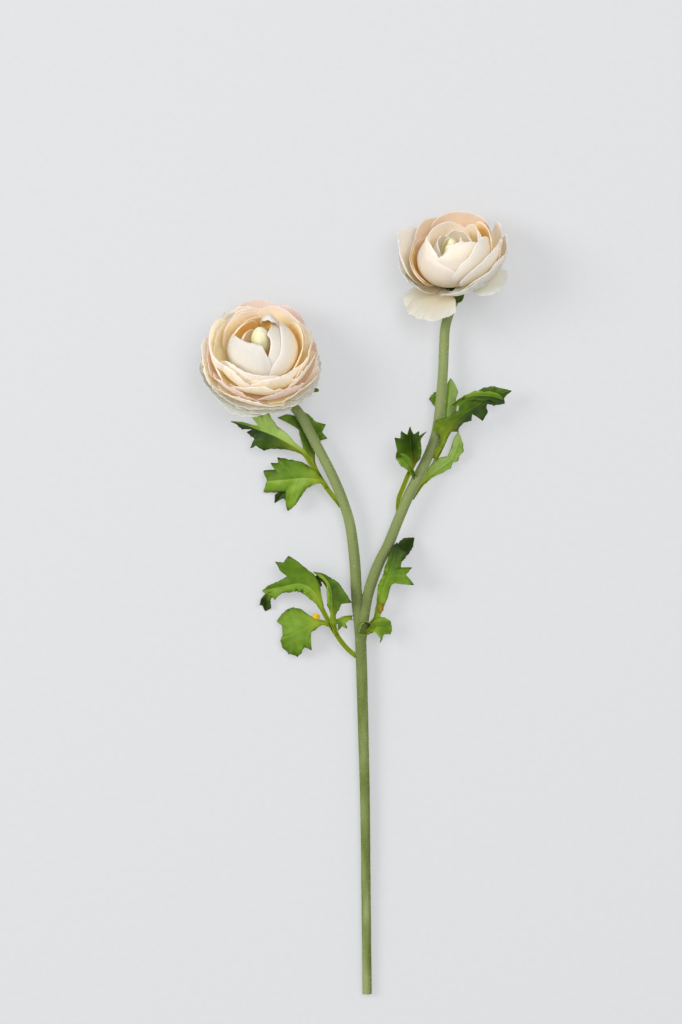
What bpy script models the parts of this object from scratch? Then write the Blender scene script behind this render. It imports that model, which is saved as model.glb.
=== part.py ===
"""A ranunculus spray, cut and laid on a table: one forked stem, two flowers and nine leaves.

Lengths below are in millimetres until they reach Blender, which is in metres.
Layout frame: x across the spray, y along the stem from its cut end, z up from the table.
The finished spray is set over the middle of its own footprint, with the table at z = 0.
"""

import math

import bmesh
import bpy
from mathutils import Matrix, Vector

MM = 0.001

# Stem -------------------------------------------------------------------------------------------
STEM_STEP = 7.0  # spacing of the rings along a stem
STEM_SIDES_RESOLUTION = 2
CUT_RADIUS = 3.0
FORK_RADIUS = 3.6
NECK_RADIUS = 3.1
MAIN_ROUTE = [
    (0.0, 0.0, 3.0), (-0.6, 60.0, 4.0), (-1.3, 125.0, 5.0), (-2.6, 178.0, 5.8), (-3.9, 223.0, 6.4),
    (-5.2, 243.0, 6.8), (-6.6, 256.0, 7.1), (-8.1, 281.5, 7.6), (-11.0, 304.0, 8.2), (-15.6, 319.5, 8.7),
    (-22.0, 335.0, 9.4), (-29.0, 349.0, 10.0), (-36.4, 363.0, 10.2), (-43.5, 376.0, 9.4),
    (-51.5, 384.5, 8.0), (-60.0, 389.5, 7.2),
]
RIGHT_ROUTE = [
    (-4.0, 224.0, 6.5), (-2.6, 240.0, 7.6), (-0.2, 256.0, 8.6), (3.3, 268.5, 9.2), (8.5, 281.5, 9.8),
    (13.7, 291.5, 10.2), (19.5, 306.0, 10.8), (25.4, 320.0, 11.4), (31.9, 333.5, 12.0),
    (38.4, 346.5, 12.4), (43.6, 359.5, 12.6), (46.2, 372.5, 12.6), (47.6, 386.0, 12.2),
    (49.0, 402.0, 11.2), (49.7, 418.0, 10.0), (50.6, 432.0, 9.0), (54.0, 444.0, 8.4),
]

# Flowers: where the stem ends, and the way each flower faces ------------------------------------
LEFT_SEAT = (-69.0, 401.0, 15.4)
LEFT_FACING = (0.06, 0.58, 0.813)
RIGHT_SEAT = (57.2, 459.0, 13.8)
RIGHT_FACING = (-0.16, 0.806, 0.57)
NECK_STRAIGHT = 6.0  # the last of the neck runs straight into the flower

# Petals: a flower is a nest of bowls round the receptacle ---------------------------------------
PETAL_THICKNESS = 0.4
LAP_AT_BASE = 0.8  # how far one petal of a whorl lies outside the next
LAP_AT_RIM = 1.5
SEAT_GAP = 0.3
CLAW_WIDTH = 0.38  # a petal's width at its base, as a share of its greatest
PETAL_COLUMNS = 6
PETAL_ROWS = 5
CONE_TOP = 13.9
CONE_BASE = 1.1
# name, petals, base height, two bend points and the rim as (radius, height), degrees each spans, first at, corner drop
LEFT_WHORLS = [
    ("guard_petal", 6, 1.9, (21.0, 1.4), (34.0, 2.6), (39.5, 10.5), 76.0, 270.0, 0.30),
    ("outer_petal", 5, 4.5, (22.0, 5.0), (37.6, 9.5), (39.0, 21.5), 90.0, 240.0, 0.28),
    ("bowl_petal", 5, 7.1, (21.0, 8.2), (36.2, 16.5), (35.8, 31.5), 90.0, 268.0, 0.26),
    ("inner_petal", 4, 9.7, (18.5, 11.0), (31.5, 21.5), (30.5, 38.0), 108.0, 250.0, 0.24),
    ("cup_petal", 4, 12.3, (16.0, 14.0), (28.5, 26.5), (14.0, 42.0), 112.0, 236.0, 0.22),
]
RIGHT_WHORLS = [
    ("cup_petal", 5, 6.2, (21.0, 6.0), (31.5, 22.0), (23.0, 40.5), 98.0, 252.0, 0.24),
    ("inner_petal", 4, 8.9, (17.0, 10.2), (25.5, 25.0), (16.0, 41.5), 108.0, 222.0, 0.24),
    ("heart_petal", 3, 11.6, (12.5, 14.0), (19.0, 27.0), (11.0, 40.0), 136.0, 250.0, 0.22),
]
RIGHT_LOOSE = [
    ("upright_petal", 1, 4.1, (20.0, 4.6), (31.5, 10.0), (32.0, 34.0), 84.0, 176.0, 0.26),
    ("drooping_petal", 1, 1.9, (18.0, 5.5), (29.5, 4.5), (38.0, -6.0), 84.0, 238.0, 0.26),
    ("lower_right_petal", 1, 4.1, (20.0, 4.6), (33.0, 10.0), (35.0, 26.0), 74.0, 328.0, 0.28),
    ("upper_right_petal", 1, 1.9, (24.0, 3.0), (38.0, 13.0), (37.0, 32.0), 62.0, 22.0, 0.30),
    ("back_petal", 1, 4.1, (20.0, 4.8), (30.0, 12.0), (31.0, 30.0), 80.0, 88.0, 0.26),
]

# Leaves: the leaf stalk and midrib as one route, and the place on it where the blade starts. From there the
# blade is a ladder of rungs: how far along the midrib each starts, then its left and its right end as
# (along the midrib, out from it). The last pair is the leaf's tip.
BLADE_THICKNESS = 0.5
STALK_THICKNESS = 1.4
STALK_WIDTH = 2.2
TIP_WIDTH = 0.8
LEAF_COLUMNS = 4
STALK_STEP = 6.0
FOOT_GAP = 0.35
LEAVES = {
    "lower_left_leaf": [
        dict(route=[(-7.2, 219.7, 5.6), (-12.3, 223.6, 6.4), (-18.2, 230.8, 7.6), (-23.4, 239.2, 9.2),
                    (-29.2, 250.2, 11.4), (-32.5, 258.1, 13.0), (-37.7, 263.9, 14.0), (-44.9, 266.2, 14.0),
                    (-53.3, 264.6, 12.0), (-61.8, 262.9, 8.6), (-70.2, 261.0, 4.4)],
             blade_at=4, cup=0.012, tip=(50.5, 0.0),
             rungs=[(4, 8, -4.5, 9, 3.5), (9, 13, -5, 15.5, 7.5), (14, 18.5, -5, 22.5, 11.5),
                    (17, 21, -5, 26.5, 18.5), (19.5, 23, -5, 29, 15), (22, 25, -4.8, 34, 17),
                    (24.5, 27, -4.5, 33, 11.5), (27, 29.5, -4.3, 29, 6.5), (33, 36, -4, 36.5, 3.8),
                    (39, 42, -7.5, 42, 3), (45, 46.5, -4, 46, 2)]),
        dict(route=[(-23.4, 239.2, 9.2), (-29.2, 241.2, 10.6), (-35.8, 239.2, 11.8), (-42.2, 236.3, 11.4),
                    (-48.8, 233.3, 9.4), (-55.2, 230.1, 6.0), (-61.0, 227.2, 2.6)],
             blade_at=1, cup=-0.008, tip=(30.5, -1.0),
             rungs=[(2, 4.5, -3, 4, 4.5), (4, 9.5, -4, 6, 7), (6, 13.5, -8, 9.5, 12.5), (8, 14, -14.5, 14, 15.5),
                    (11, 17.5, -11, 19.5, 16), (14, 21, -13.5, 24, 14.5), (17, 26, -14.5, 28.5, 12),
                    (20, 28, -11, 27, 8), (24, 31.5, -10.5, 27, 3), (27, 32, -5, 29, 1.5)]),
        dict(route=[(-19.4, 232.8, 8.2), (-21.4, 238.6, 9.6), (-22.4, 245.7, 11.8), (-22.8, 252.9, 13.8),
                    (-23.1, 260.0, 15.2), (-24.7, 266.5, 15.4), (-28.6, 271.4, 13.6), (-34.5, 274.3, 10.0)],
             blade_at=1, cup=0.03, tip=(41.5, -0.5),
             rungs=[(4, 8, -1.2, 6.5, 1.8), (8, 12, -2, 10, 3), (11, 15.5, -3, 12.5, 4.5),
                    (13.5, 18, -3, 17, 6.5), (15.5, 20, -3, 18, 12.5), (18, 22.5, -3, 23.5, 8.5),
                    (22, 26, -2.2, 27.5, 6), (27, 30, -1.6, 30.5, 3), (33, 36.5, -2, 35, 1.5)]),
    ],
    "fork_upright_leaf": [
        dict(route=[(2.0, 239.2, 7.0), (5.6, 243.8, 7.8), (7.6, 250.9, 9.4), (9.4, 258.7, 11.6),
                    (11.7, 266.5, 14.0), (14.6, 274.3, 15.8), (17.0, 282.8, 16.4), (19.4, 293.8, 14.2)],
             blade_at=1, cup=0.02, tip=(52.5, 0.0),
             rungs=[(5, 8, -1.8, 8, 3), (12, 16, -3.0, 15, 4), (20, 22, -4.0, 24.5, 4), (23.5, 25, -3.5, 28.5, 7),
                    (26, 28, -3.2, 31, 17.5), (29, 31, -3.6, 34.5, 10.5), (32, 34, -4, 39, 13),
                    (35, 37.5, -3.8, 37.5, 6), (39.5, 42, -3.5, 43, 5.5), (43, 45, -3, 47.5, 8),
                    (47, 48.5, -2.5, 49, 3)]),
    ],
    "fork_curled_leaf": [
        dict(route=[(1.4, 233.0, 9.4), (5.0, 235.5, 11.4), (9.5, 237.0, 11.6), (14.0, 236.0, 9.6),
                    (17.0, 232.0, 6.6)],
             blade_at=1, cup=0.03, tip=(16.0, 0.0),
             rungs=[(2, 3, -3.5, 3, 3.5), (5, 6, -5, 6, 7), (7.5, 9, -5, 12, 8.5), (10, 12.5, -3, 11.5, 3)]),
    ],
    "fork_small_leaf": [
        dict(route=[(-9.5, 244.2, 7.6), (-13.0, 244.0, 9.0), (-16.5, 241.5, 9.0), (-18.5, 236.5, 6.0)],
             blade_at=1, cup=0.03, tip=(11.0, 0.0),
             rungs=[(2, 3, -2.5, 3, 2.5), (4, 7, -5, 7, 4.5), (6.5, 7, -1.6, 7, 1.6)]),
    ],
    "left_branch_leaf": [
        dict(route=[(-20.8, 321.6, 8.2), (-26.0, 328.0, 8.6), (-31.9, 337.4, 9.2), (-37.1, 345.2, 10.4),
                    (-41.3, 351.0, 11.8), (-48.1, 355.2, 13.6), (-55.2, 359.1, 14.6), (-63.1, 362.7, 14.2),
                    (-70.9, 365.9, 12.6), (-79.3, 368.9, 9.8), (-89.7, 371.8, 5.4)],
             blade_at=4, cup=0.03, tip=(53.0, 0.0),
             rungs=[(5, 8.5, -3.5, 8, 2.5), (11, 15, -5.5, 15, 5), (16, 21, -8.5, 23, 7), (19, 25, -11, 27, 10.5),
                    (22, 30.5, -10, 31, 14), (24.5, 34.5, -13, 33.5, 10.5), (27, 34, -8, 38.5, 12.5),
                    (29, 34, -6, 41, 7.5), (31, 36.5, -5.5, 36.5, 5), (33, 41, -4, 33.5, 2.5),
                    (37, 36.5, -0.8, 38, 1.6), (42, 44.5, -3, 44.5, 1.5), (48, 49, -0.8, 49, 0.8)]),
        dict(route=[(-26.0, 328.0, 8.6), (-29.0, 332.4, 10.2), (-35.8, 334.1, 12.4), (-43.6, 334.1, 13.8),
                    (-51.4, 333.4, 13.2), (-59.8, 332.8, 10.2), (-68.2, 332.2, 5.4)],
             blade_at=1, cup=-0.004, tip=(38.0, 1.0),
             rungs=[(3, 6.5, -5, 4.5, 4), (6, 10.5, -6.5, 9.5, 8.5), (9, 13.5, -10, 14, 11), (12, 19.5, -16, 19, 12.5),
                    (14.5, 23, -18.5, 24.5, 13.5), (17, 27, -20, 29.5, 15), (20, 26.5, -12, 29, 11.5),
                    (23, 25.5, -7, 34.5, 11.5), (28, 35.5, -7.5, 32, 7), (34, 42.5, -6.5, 39.5, 7)]),
        dict(route=[(-31.9, 337.4, 9.2), (-34.9, 343.9, 6.4), (-37.1, 351.0, 4.0), (-39.0, 358.2, 3.0),
                    (-40.3, 365.3, 2.6), (-41.6, 372.4, 2.4), (-42.9, 380.5, 2.0)],
             blade_at=1, cup=0.006, tip=(36.0, -0.5),
             rungs=[(5, 9, -3, 7, 4), (11, 16.5, -3.5, 14, 7.5), (15, 21, -3.8, 14.5, 13.5), (18, 25, -4, 20, 11),
                    (20.5, 29, -8.5, 24, 14), (23.5, 33.5, -16, 27.5, 7.5), (27, 35, -10, 31, 5.5),
                    (30, 33.5, -5.5, 33, 4)]),
    ],
    "right_branch_cupped_leaf": [
        dict(route=[(17.9, 310.7, 9.6), (20.2, 319.8, 11.0), (23.1, 328.2, 12.6), (26.3, 336.1, 13.8),
                    (28.9, 341.9, 14.6), (28.9, 347.8, 15.6), (28.3, 353.6, 16.6), (27.9, 359.4, 17.2),
                    (27.6, 367.2, 16.4)],
             blade_at=4, cup=0.05, tip=(26.0, 0.0),
             rungs=[(2.5, 4.5, -4.5, 4, 4.5), (5, 7, -8, 10, 6.5), (8, 10, -10.5, 14, 6.5), (11, 13, -9.5, 17.5, 6.5),
                    (14, 18, -10, 20, 9), (17, 20.5, -6.5, 21.5, 6.5), (20, 21.5, -3, 22, 2)]),
    ],
    "right_branch_hooked_leaf": [
        dict(route=[(31.4, 325.4, 8.6), (35.8, 331.5, 7.2), (41.6, 336.7, 6.4), (48.1, 341.6, 6.2),
                    (54.0, 346.4, 6.8), (57.5, 352.9, 7.6), (59.1, 359.4, 7.6), (59.5, 365.9, 6.4)],
             blade_at=1, cup=0.015, tip=(43.0, -0.5),
             rungs=[(4, 4.5, -2.4, 6, 1.4), (8, 9.5, -4.6, 11, 2.4), (13, 15, -6.5, 16, 3.4), (18, 19.5, -5.5, 20.5, 4),
                    (22, 24.5, -3, 23.5, 2), (25, 27, -3, 25.5, 4.5), (29, 31, -3.2, 28.5, 3.5),
                    (32.5, 34.5, -3.5, 32, 5), (37, 38, -3.2, 36.5, 3)]),
    ],
    "right_branch_spreading_leaf": [
        dict(route=[(44.9, 351.7, 13.6), (47.5, 355.6, 15.6), (50.7, 362.1, 17.8), (54.0, 367.9, 19.2),
                    (59.1, 373.4, 20.0), (65.7, 378.0, 20.0), (73.5, 382.9, 18.8), (81.9, 387.4, 16.4),
                    (89.0, 390.0, 13.4), (96.2, 391.9, 9.6)],
             blade_at=1, cup=0.012, tip=(60.5, 0.5),
             rungs=[(4, 6, -3, 6, 1.6), (8, 8, -9, 12, 2), (11, 12.5, -10.5, 13.5, 6), (14, 15, -7.5, 17, 4.5),
                    (19, 20, -4, 22, 4.5), (24, 24.5, -4, 28, 6), (27, 27, -7.5, 31, 2.5), (30, 30.5, -8.5, 34, 10),
                    (34, 35.5, -6, 41, 7), (38, 39.5, -7, 42.5, 2.5), (43, 44, -8, 46.5, 5),
                    (48, 49, -6.5, 56, 7), (52, 52.5, -4.5, 54, 3.5)]),
    ],
    "right_branch_back_leaf": [
        dict(route=[(44.0, 346.8, 8.0), (47.6, 353.6, 6.0), (50.1, 362.7, 4.0), (51.4, 372.4, 3.4),
                    (52.3, 382.2, 3.6), (53.3, 391.9, 4.0), (54.3, 400.4, 3.6)],
             blade_at=1, cup=0.006, tip=(46.5, 0.0),
             rungs=[(8, 13, -3, 11, 2.5), (16, 20, -5, 18, 4), (22, 26.5, -7, 25, 6), (27, 32, -12.5, 30, 6),
                    (31, 36.5, -9.5, 33.5, 5), (35, 37, -5, 38.5, 6), (41, 42, -2, 43, 3.5)]),
    ],
}

# name: base colour, roughness
FINISHES = {
    "stem_green": ((0.36, 0.42, 0.16, 1.0), 0.8),
    "leaf_green": ((0.16, 0.34, 0.05, 1.0), 0.5),
    "petal_cream": ((0.93, 0.82, 0.68, 1.0), 0.7),
    "heart_green": ((0.78, 0.80, 0.48, 1.0), 0.7),
}


def clear_scene():
    for obj in list(bpy.data.objects):
        bpy.data.objects.remove(obj)


def collection(name):
    made = bpy.data.collections.new(name)
    bpy.context.scene.collection.children.link(made)
    return made


def finish(name):
    found = bpy.data.materials.get(name)
    if found:
        return found
    colour, roughness = FINISHES[name]
    made = bpy.data.materials.new(name)
    made.use_nodes = True
    shader = made.node_tree.nodes["Principled BSDF"]
    shader.inputs["Base Color"].default_value = colour
    shader.inputs["Roughness"].default_value = roughness
    shader.inputs["Metallic"].default_value = 0.0
    return made


def add_object(name, data, into, finish_name, parent=None):
    obj = bpy.data.objects.new(name, data)
    into.objects.link(obj)
    data.materials.append(finish(finish_name))
    obj.parent = parent
    return obj


# Routes -----------------------------------------------------------------------------------------


def catmull_rom(a, b, c, d, t):
    return 0.5 * (2 * b + (c - a) * t + (2 * a - 5 * b + 4 * c - d) * t**2 + (3 * b - a - 3 * c + d) * t**3)


class Route:
    """A smooth line through points, read by its arc length."""

    FINE = 12

    def __init__(self, points):
        knots = [Vector(p) for p in points]
        knots = [2 * knots[0] - knots[1]] + knots + [2 * knots[-1] - knots[-2]]
        self.line = []
        for i in range(1, len(knots) - 2):
            for j in range(self.FINE):
                self.line.append(catmull_rom(*knots[i - 1:i + 3], j / self.FINE))
        self.line.append(knots[-2])
        self.at = [0.0]
        for a, b in zip(self.line, self.line[1:]):
            self.at.append(self.at[-1] + (b - a).length)
        self.length = self.at[-1]

    def knot_length(self, index):
        """The arc length at one of the points that the route was given."""
        return self.at[index * self.FINE]

    def point(self, s):
        """The point at arc length s; past either end the route runs on straight."""
        if s <= 0:
            return self.line[0] + (self.line[1] - self.line[0]).normalized() * s
        if s >= self.length:
            return self.line[-1] + (self.line[-1] - self.line[-2]).normalized() * (s - self.length)
        i = max(k for k in range(len(self.at) - 1) if self.at[k] <= s)
        share = (s - self.at[i]) / (self.at[i + 1] - self.at[i])
        return self.line[i].lerp(self.line[i + 1], share)

    def direction(self, s, reach=2.0):
        return (self.point(s + reach) - self.point(s - reach)).normalized()


# Stem -------------------------------------------------------------------------------------------


def tube(name, points, radius_at, into, finish_name):
    """A round stem along the points, as a mesh with its caps welded on."""
    route = Route(points)
    count = round(route.length / STEM_STEP) + 1
    curve = bpy.data.curves.new(name, "CURVE")
    curve.dimensions = "3D"
    curve.bevel_depth = MM
    curve.bevel_resolution = STEM_SIDES_RESOLUTION
    curve.use_fill_caps = True
    spline = curve.splines.new("POLY")
    spline.points.add(count - 1)
    for i in range(count):
        s = route.length * i / (count - 1)
        spline.points[i].co = (*(route.point(s) * MM), 1.0)
        spline.points[i].radius = radius_at(s / route.length)
    guide = bpy.data.objects.new(name + "_line", curve)
    into.objects.link(guide)
    graph = bpy.context.evaluated_depsgraph_get()
    mesh = bpy.data.meshes.new_from_object(guide.evaluated_get(graph))
    bpy.data.objects.remove(guide)
    bm = bmesh.new()
    bm.from_mesh(mesh)
    bmesh.ops.remove_doubles(bm, verts=bm.verts, dist=1e-6)
    bm.to_mesh(mesh)
    bm.free()
    mesh.name = name
    return add_object(name, mesh, into, finish_name)


def join(obj, other, helpers):
    """Adds a helper solid to obj with a Boolean union."""
    other.hide_render = True
    other.display_type = "WIRE"
    for holder in list(other.users_collection):
        holder.objects.unlink(other)
    helpers.objects.link(other)
    union = obj.modifiers.new("join_" + other.name, "BOOLEAN")
    union.operation = "UNION"
    union.solver = "EXACT"
    union.object = other


def stem_routes():
    """Both lines of the stem, each with its radius at every share of its length."""
    left_end = Vector(LEFT_SEAT)
    left_in = left_end - Vector(LEFT_FACING).normalized() * NECK_STRAIGHT
    right_end = Vector(RIGHT_SEAT)
    right_in = right_end - Vector(RIGHT_FACING).normalized() * NECK_STRAIGHT

    def main_radius(t):
        swell = math.exp(-(((t - 0.55) / 0.22) ** 2))
        return CUT_RADIUS + (FORK_RADIUS - CUT_RADIUS) * swell + (NECK_RADIUS - CUT_RADIUS) * t

    def branch_radius(t):
        hidden = max(0.0, 1 - t / 0.1)  # it starts inside the main stem
        return FORK_RADIUS + (NECK_RADIUS - FORK_RADIUS) * t - 0.7 * hidden

    return (MAIN_ROUTE + [left_in, left_end], main_radius), (RIGHT_ROUTE + [right_in, right_end], branch_radius)


def stem_rings(spacing=0.5):
    """Centres and radii close together along both lines, for seating leaves beside them."""
    rings = []
    for points, radius_at in stem_routes():
        route = Route(points)
        for i in range(int(route.length / spacing)):
            s = i * spacing
            rings.append((route.point(s), radius_at(s / route.length)))
    return rings


def forked_stem(into, helpers):
    main, right = stem_routes()
    stem = tube("forked_stem", *main, into, "stem_green")
    join(stem, tube("right_branch", *right, into, "stem_green"), helpers)


# Flowers ----------------------------------------------------------------------------------------


def flower_axis(name, seat, facing, into):
    """An empty at the flower's seat: its z is the way the flower faces, its x points right."""
    axis = Vector(facing).normalized()
    right = Vector((axis.z, 0.0, -axis.x)).normalized()
    back = axis.cross(right)
    empty = bpy.data.objects.new(name, None)
    into.objects.link(empty)
    turn = Matrix((right, back, axis)).transposed().to_4x4()
    empty.matrix_world = Matrix.Translation(Vector(seat) * MM) @ turn
    return empty


def cone_radius(height):
    """The receptacle narrows upwards, and every petal starts on it."""
    return 9.0 - 0.2 * height


def bezier(a, b, c, d, t):
    return (1 - t) ** 3 * a + 3 * (1 - t) ** 2 * t * b + 3 * (1 - t) * t**2 * c + t**3 * d


def petal_point(whorl, index, u, v):
    """A point of a petal's middle surface: u runs across from -1 to 1, v from the base to the rim."""
    _, count, base_height, bend_1, bend_2, rim, span, first, corner = whorl
    s = v * (1 - corner * abs(u) ** 2.4)
    base = Vector((cone_radius(base_height), base_height))
    knots = [base, Vector(bend_1), Vector(bend_2), Vector(rim)]
    here = bezier(*knots, s)
    ahead = bezier(*knots, s + 0.01) - bezier(*knots, s - 0.01)
    outward = Vector((ahead.y, -ahead.x)).normalized()
    widening = math.sin(math.pi / 2 * min(1.0, s / 0.62))
    half = math.radians(span / 2) * (CLAW_WIDTH + (1 - CLAW_WIDTH) * widening)
    turn = u * half
    lap = LAP_AT_BASE + (LAP_AT_RIM - LAP_AT_BASE) * s
    if count > 1:
        here += outward * lap * count * turn / (2 * math.pi)
    around = math.radians(first) + 2 * math.pi * index / count + turn
    return Vector((here.x * math.cos(around), here.x * math.sin(around), here.y))


def sheet_mesh(name, columns, rows, place):
    """A grid whose corners run over u = -1..1 and v = 0..1, each vertex moved by place(u, v)."""
    bm = bmesh.new()
    bmesh.ops.create_grid(bm, x_segments=columns, y_segments=rows, size=1.0)
    for vertex in bm.verts:
        u, v = vertex.co.x, (vertex.co.y + 1) / 2
        vertex.co = place(u, v) * MM
    bmesh.ops.recalc_face_normals(bm, faces=bm.faces)
    mesh = bpy.data.meshes.new(name)
    bm.to_mesh(mesh)
    bm.free()
    mesh.shade_smooth()
    return mesh


def thicken(obj, thickness):
    shell = obj.modifiers.new("thickness", "SOLIDIFY")
    shell.thickness = thickness * MM
    shell.offset = 0.0
    return shell


def petals(prefix, whorls, axis, into):
    for whorl in whorls:
        for index in range(whorl[1]):
            name = f"{prefix}_{whorl[0]}" + (f"_{index + 1}" if whorl[1] > 1 else "")
            mesh = sheet_mesh(
                name, PETAL_COLUMNS, PETAL_ROWS,
                lambda u, v, whorl=whorl, index=index: petal_point(whorl, index, u, v),
            )
            thicken(add_object(name, mesh, into, "petal_cream", axis), PETAL_THICKNESS)


def turned(name, profile, axis, into, finish_name, steps=20):
    """A round piece on the flower's axis from a profile of (radius, height), top to bottom."""
    mesh = bpy.data.meshes.new(name)
    points = [(radius * MM, 0.0, height * MM) for radius, height in profile]
    mesh.from_pydata(points, [(i, i + 1) for i in range(len(points) - 1)], [])
    obj = add_object(name, mesh, into, finish_name, axis)
    screw = obj.modifiers.new("turn", "SCREW")
    screw.steps = steps
    screw.render_steps = steps
    screw.use_merge_vertices = True
    screw.merge_threshold = 1e-5
    screw.use_smooth_shade = True
    return obj


def receptacle(name, axis, into):
    profile = [(0.0, CONE_TOP), (cone_radius(CONE_TOP) - SEAT_GAP - 1.0, CONE_TOP)]
    steps = 4
    for i in range(steps + 1):
        height = CONE_TOP - 0.8 + (CONE_BASE - CONE_TOP + 0.8) * i / steps
        profile.append((cone_radius(height) - SEAT_GAP, height))
    profile.append((0.0, CONE_BASE))
    return turned(name, profile, axis, into, "heart_green")


def centre(name, widest, top, axis, into):
    """The closed heart of the flower, on top of the receptacle."""
    bottom = CONE_TOP + SEAT_GAP
    tall = top - bottom
    profile = [(0.0, top)]
    for share, width in ((0.97, 0.42), (0.86, 0.82), (0.66, 1.0), (0.42, 0.92), (0.2, 0.66), (0.0, 0.45)):
        profile.append((widest * width, bottom + tall * share))
    profile.append((0.0, bottom))
    return turned(name, profile, axis, into, "heart_green", steps=16)


def calyx(name, axis, into, first):
    """Five sepals in one star under the petals, bent back towards the stem."""
    sepals, inner, reach = 5, 5.5, 15.0

    def place(u, v):
        around = math.pi * (u + 1)
        lobe = 0.5 + 0.5 * math.cos(sepals * (around - math.radians(first)))
        radius = 0.6 + (inner + (reach - inner) * lobe**1.4 - 0.6) * v
        drop = max(0.0, radius - inner)
        return Vector((radius * math.cos(around), radius * math.sin(around), 0.58 - 0.035 * drop**2))

    mesh = sheet_mesh(name, 30, 3, place)
    bm = bmesh.new()
    bm.from_mesh(mesh)
    bmesh.ops.remove_doubles(bm, verts=bm.verts, dist=1e-6)
    rim = [edge for edge in bm.edges if edge.is_boundary and edge.verts[0].co.xy.length < 1.0 * MM]
    bmesh.ops.contextual_create(bm, geom=rim)
    bmesh.ops.recalc_face_normals(bm, faces=bm.faces)
    bm.to_mesh(mesh)
    bm.free()
    thicken(add_object(name, mesh, into, "leaf_green", axis), 0.45)


# Leaves -----------------------------------------------------------------------------------------


def rung_rows(leaf):
    """The blade's rows as (start on the midrib, left end, right end), from its base to its tip."""
    rows = [(0.0, Vector((0.0, -STALK_WIDTH / 2)), Vector((0.0, STALK_WIDTH / 2)))]
    for start, left_along, left_out, right_along, right_out in leaf["rungs"]:
        rows.append((start, Vector((left_along, left_out)), Vector((right_along, right_out))))
    along, out = leaf["tip"]
    rows.append((along, Vector((along, out - TIP_WIDTH / 2)), Vector((along, out + TIP_WIDTH / 2))))
    return rows


def leaf_point(route, blade_s, cup, row, across):
    """A point of the leaf's middle surface on one row, with across from -1 at the left to 1."""
    start, left, right = row
    end = right if across > 0 else left
    along, aside = Vector((start, 0.0)).lerp(end, abs(across))
    ahead = route.direction(blade_s + along)
    side = ahead.cross(Vector((0, 0, 1))).normalized()
    up = side.cross(ahead)
    return route.point(blade_s + along) + side * aside + up * (cup * aside**2)


def foot_beside(stem, points, gap):
    """Moves a leaf stalk's first point to where the stalk's end just clears the round stem."""
    foot, ahead = Vector(points[0]), (Vector(points[1]) - Vector(points[0])).normalized()
    side = ahead.cross(Vector((0, 0, 1))).normalized()
    up = side.cross(ahead)
    corners = [side * STALK_WIDTH / 2 * a + up * STALK_THICKNESS / 2 * b for a in (-1, 1) for b in (-1, 1)]
    for _ in range(6):
        nearest, radius = min(stem, key=lambda ring: (ring[0] - foot).length)
        away = (foot - nearest).normalized()
        clear = min(min((foot + corner - centre).length - wide for centre, wide in stem) for corner in corners)
        foot += away * (gap - clear)
    return [tuple(foot)] + list(points[1:])


def leaflet(name, leaf, into):
    route = Route(leaf["route"])
    blade_s = route.knot_length(leaf["blade_at"])
    stalk_rows = max(1, round(blade_s / STALK_STEP))
    half = STALK_WIDTH / 2
    rows = []
    for i in range(stalk_rows):
        at = blade_s * (i / stalk_rows - 1)
        rows.append((at, Vector((at, -half)), Vector((at, half))))
    rows += rung_rows(leaf)

    def place(u, v):
        return leaf_point(route, blade_s, leaf["cup"], rows[round(v * (len(rows) - 1))], u)

    mesh = sheet_mesh(name, LEAF_COLUMNS, len(rows) - 1, place)
    obj = add_object(name, mesh, into, "leaf_green")
    stalk = obj.vertex_groups.new(name="stalk")
    thin = BLADE_THICKNESS / STALK_THICKNESS
    for vertex in mesh.vertices:
        row = vertex.index // (LEAF_COLUMNS + 1)
        share = min(1.0, max(0.0, (row - stalk_rows) / 2))
        stalk.add([vertex.index], 1 - (1 - thin) * share, "REPLACE")
    shell = thicken(obj, STALK_THICKNESS)
    shell.vertex_group = "stalk"
    return obj


def leaves(stem, into, helpers):
    for name, parts in LEAVES.items():
        seated = dict(parts[0], route=foot_beside(stem, parts[0]["route"], FOOT_GAP))
        first = leaflet(name, seated, into)
        for number, part in enumerate(parts[1:], 2):
            join(first, leaflet(f"{name}_part_{number}", part, into), helpers)


# The whole --------------------------------------------------------------------------------------


def set_over_footprint(parts):
    """Moves everything so that the middle of the footprint is the origin and the table is z = 0."""
    bpy.context.view_layer.update()
    graph = bpy.context.evaluated_depsgraph_get()
    low = Vector((1e9, 1e9, 1e9))
    high = -low
    for obj in parts.objects:
        if obj.type == "EMPTY":
            continue
        shown = obj.evaluated_get(graph)
        mesh = shown.to_mesh()
        for vertex in mesh.vertices:
            place = shown.matrix_world @ vertex.co
            low = Vector(map(min, low, place))
            high = Vector(map(max, high, place))
        shown.to_mesh_clear()
    shift = Vector((-(low.x + high.x) / 2, -(low.y + high.y) / 2, -low.z))
    for obj in bpy.data.objects:
        if obj.parent is None:
            obj.location += shift


def main():
    clear_scene()
    spray = collection("ranunculus_spray")
    helpers = collection("joined_helpers")
    forked_stem(spray, helpers)
    left = flower_axis("left_flower_axis", LEFT_SEAT, LEFT_FACING, spray)
    right = flower_axis("right_flower_axis", RIGHT_SEAT, RIGHT_FACING, spray)
    calyx("left_calyx", left, spray, 20.0)
    calyx("right_calyx", right, spray, 290.0)
    receptacle("left_receptacle", left, spray)
    receptacle("right_receptacle", right, spray)
    centre("left_flower_centre", 8.6, 41.0, left, spray)
    centre("right_flower_centre", 7.4, 35.0, right, spray)
    petals("left", LEFT_WHORLS, left, spray)
    petals("right", RIGHT_WHORLS, right, spray)
    petals("right", RIGHT_LOOSE, right, spray)
    leaves(stem_rings(), spray, helpers)
    set_over_footprint(spray)


main()
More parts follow.
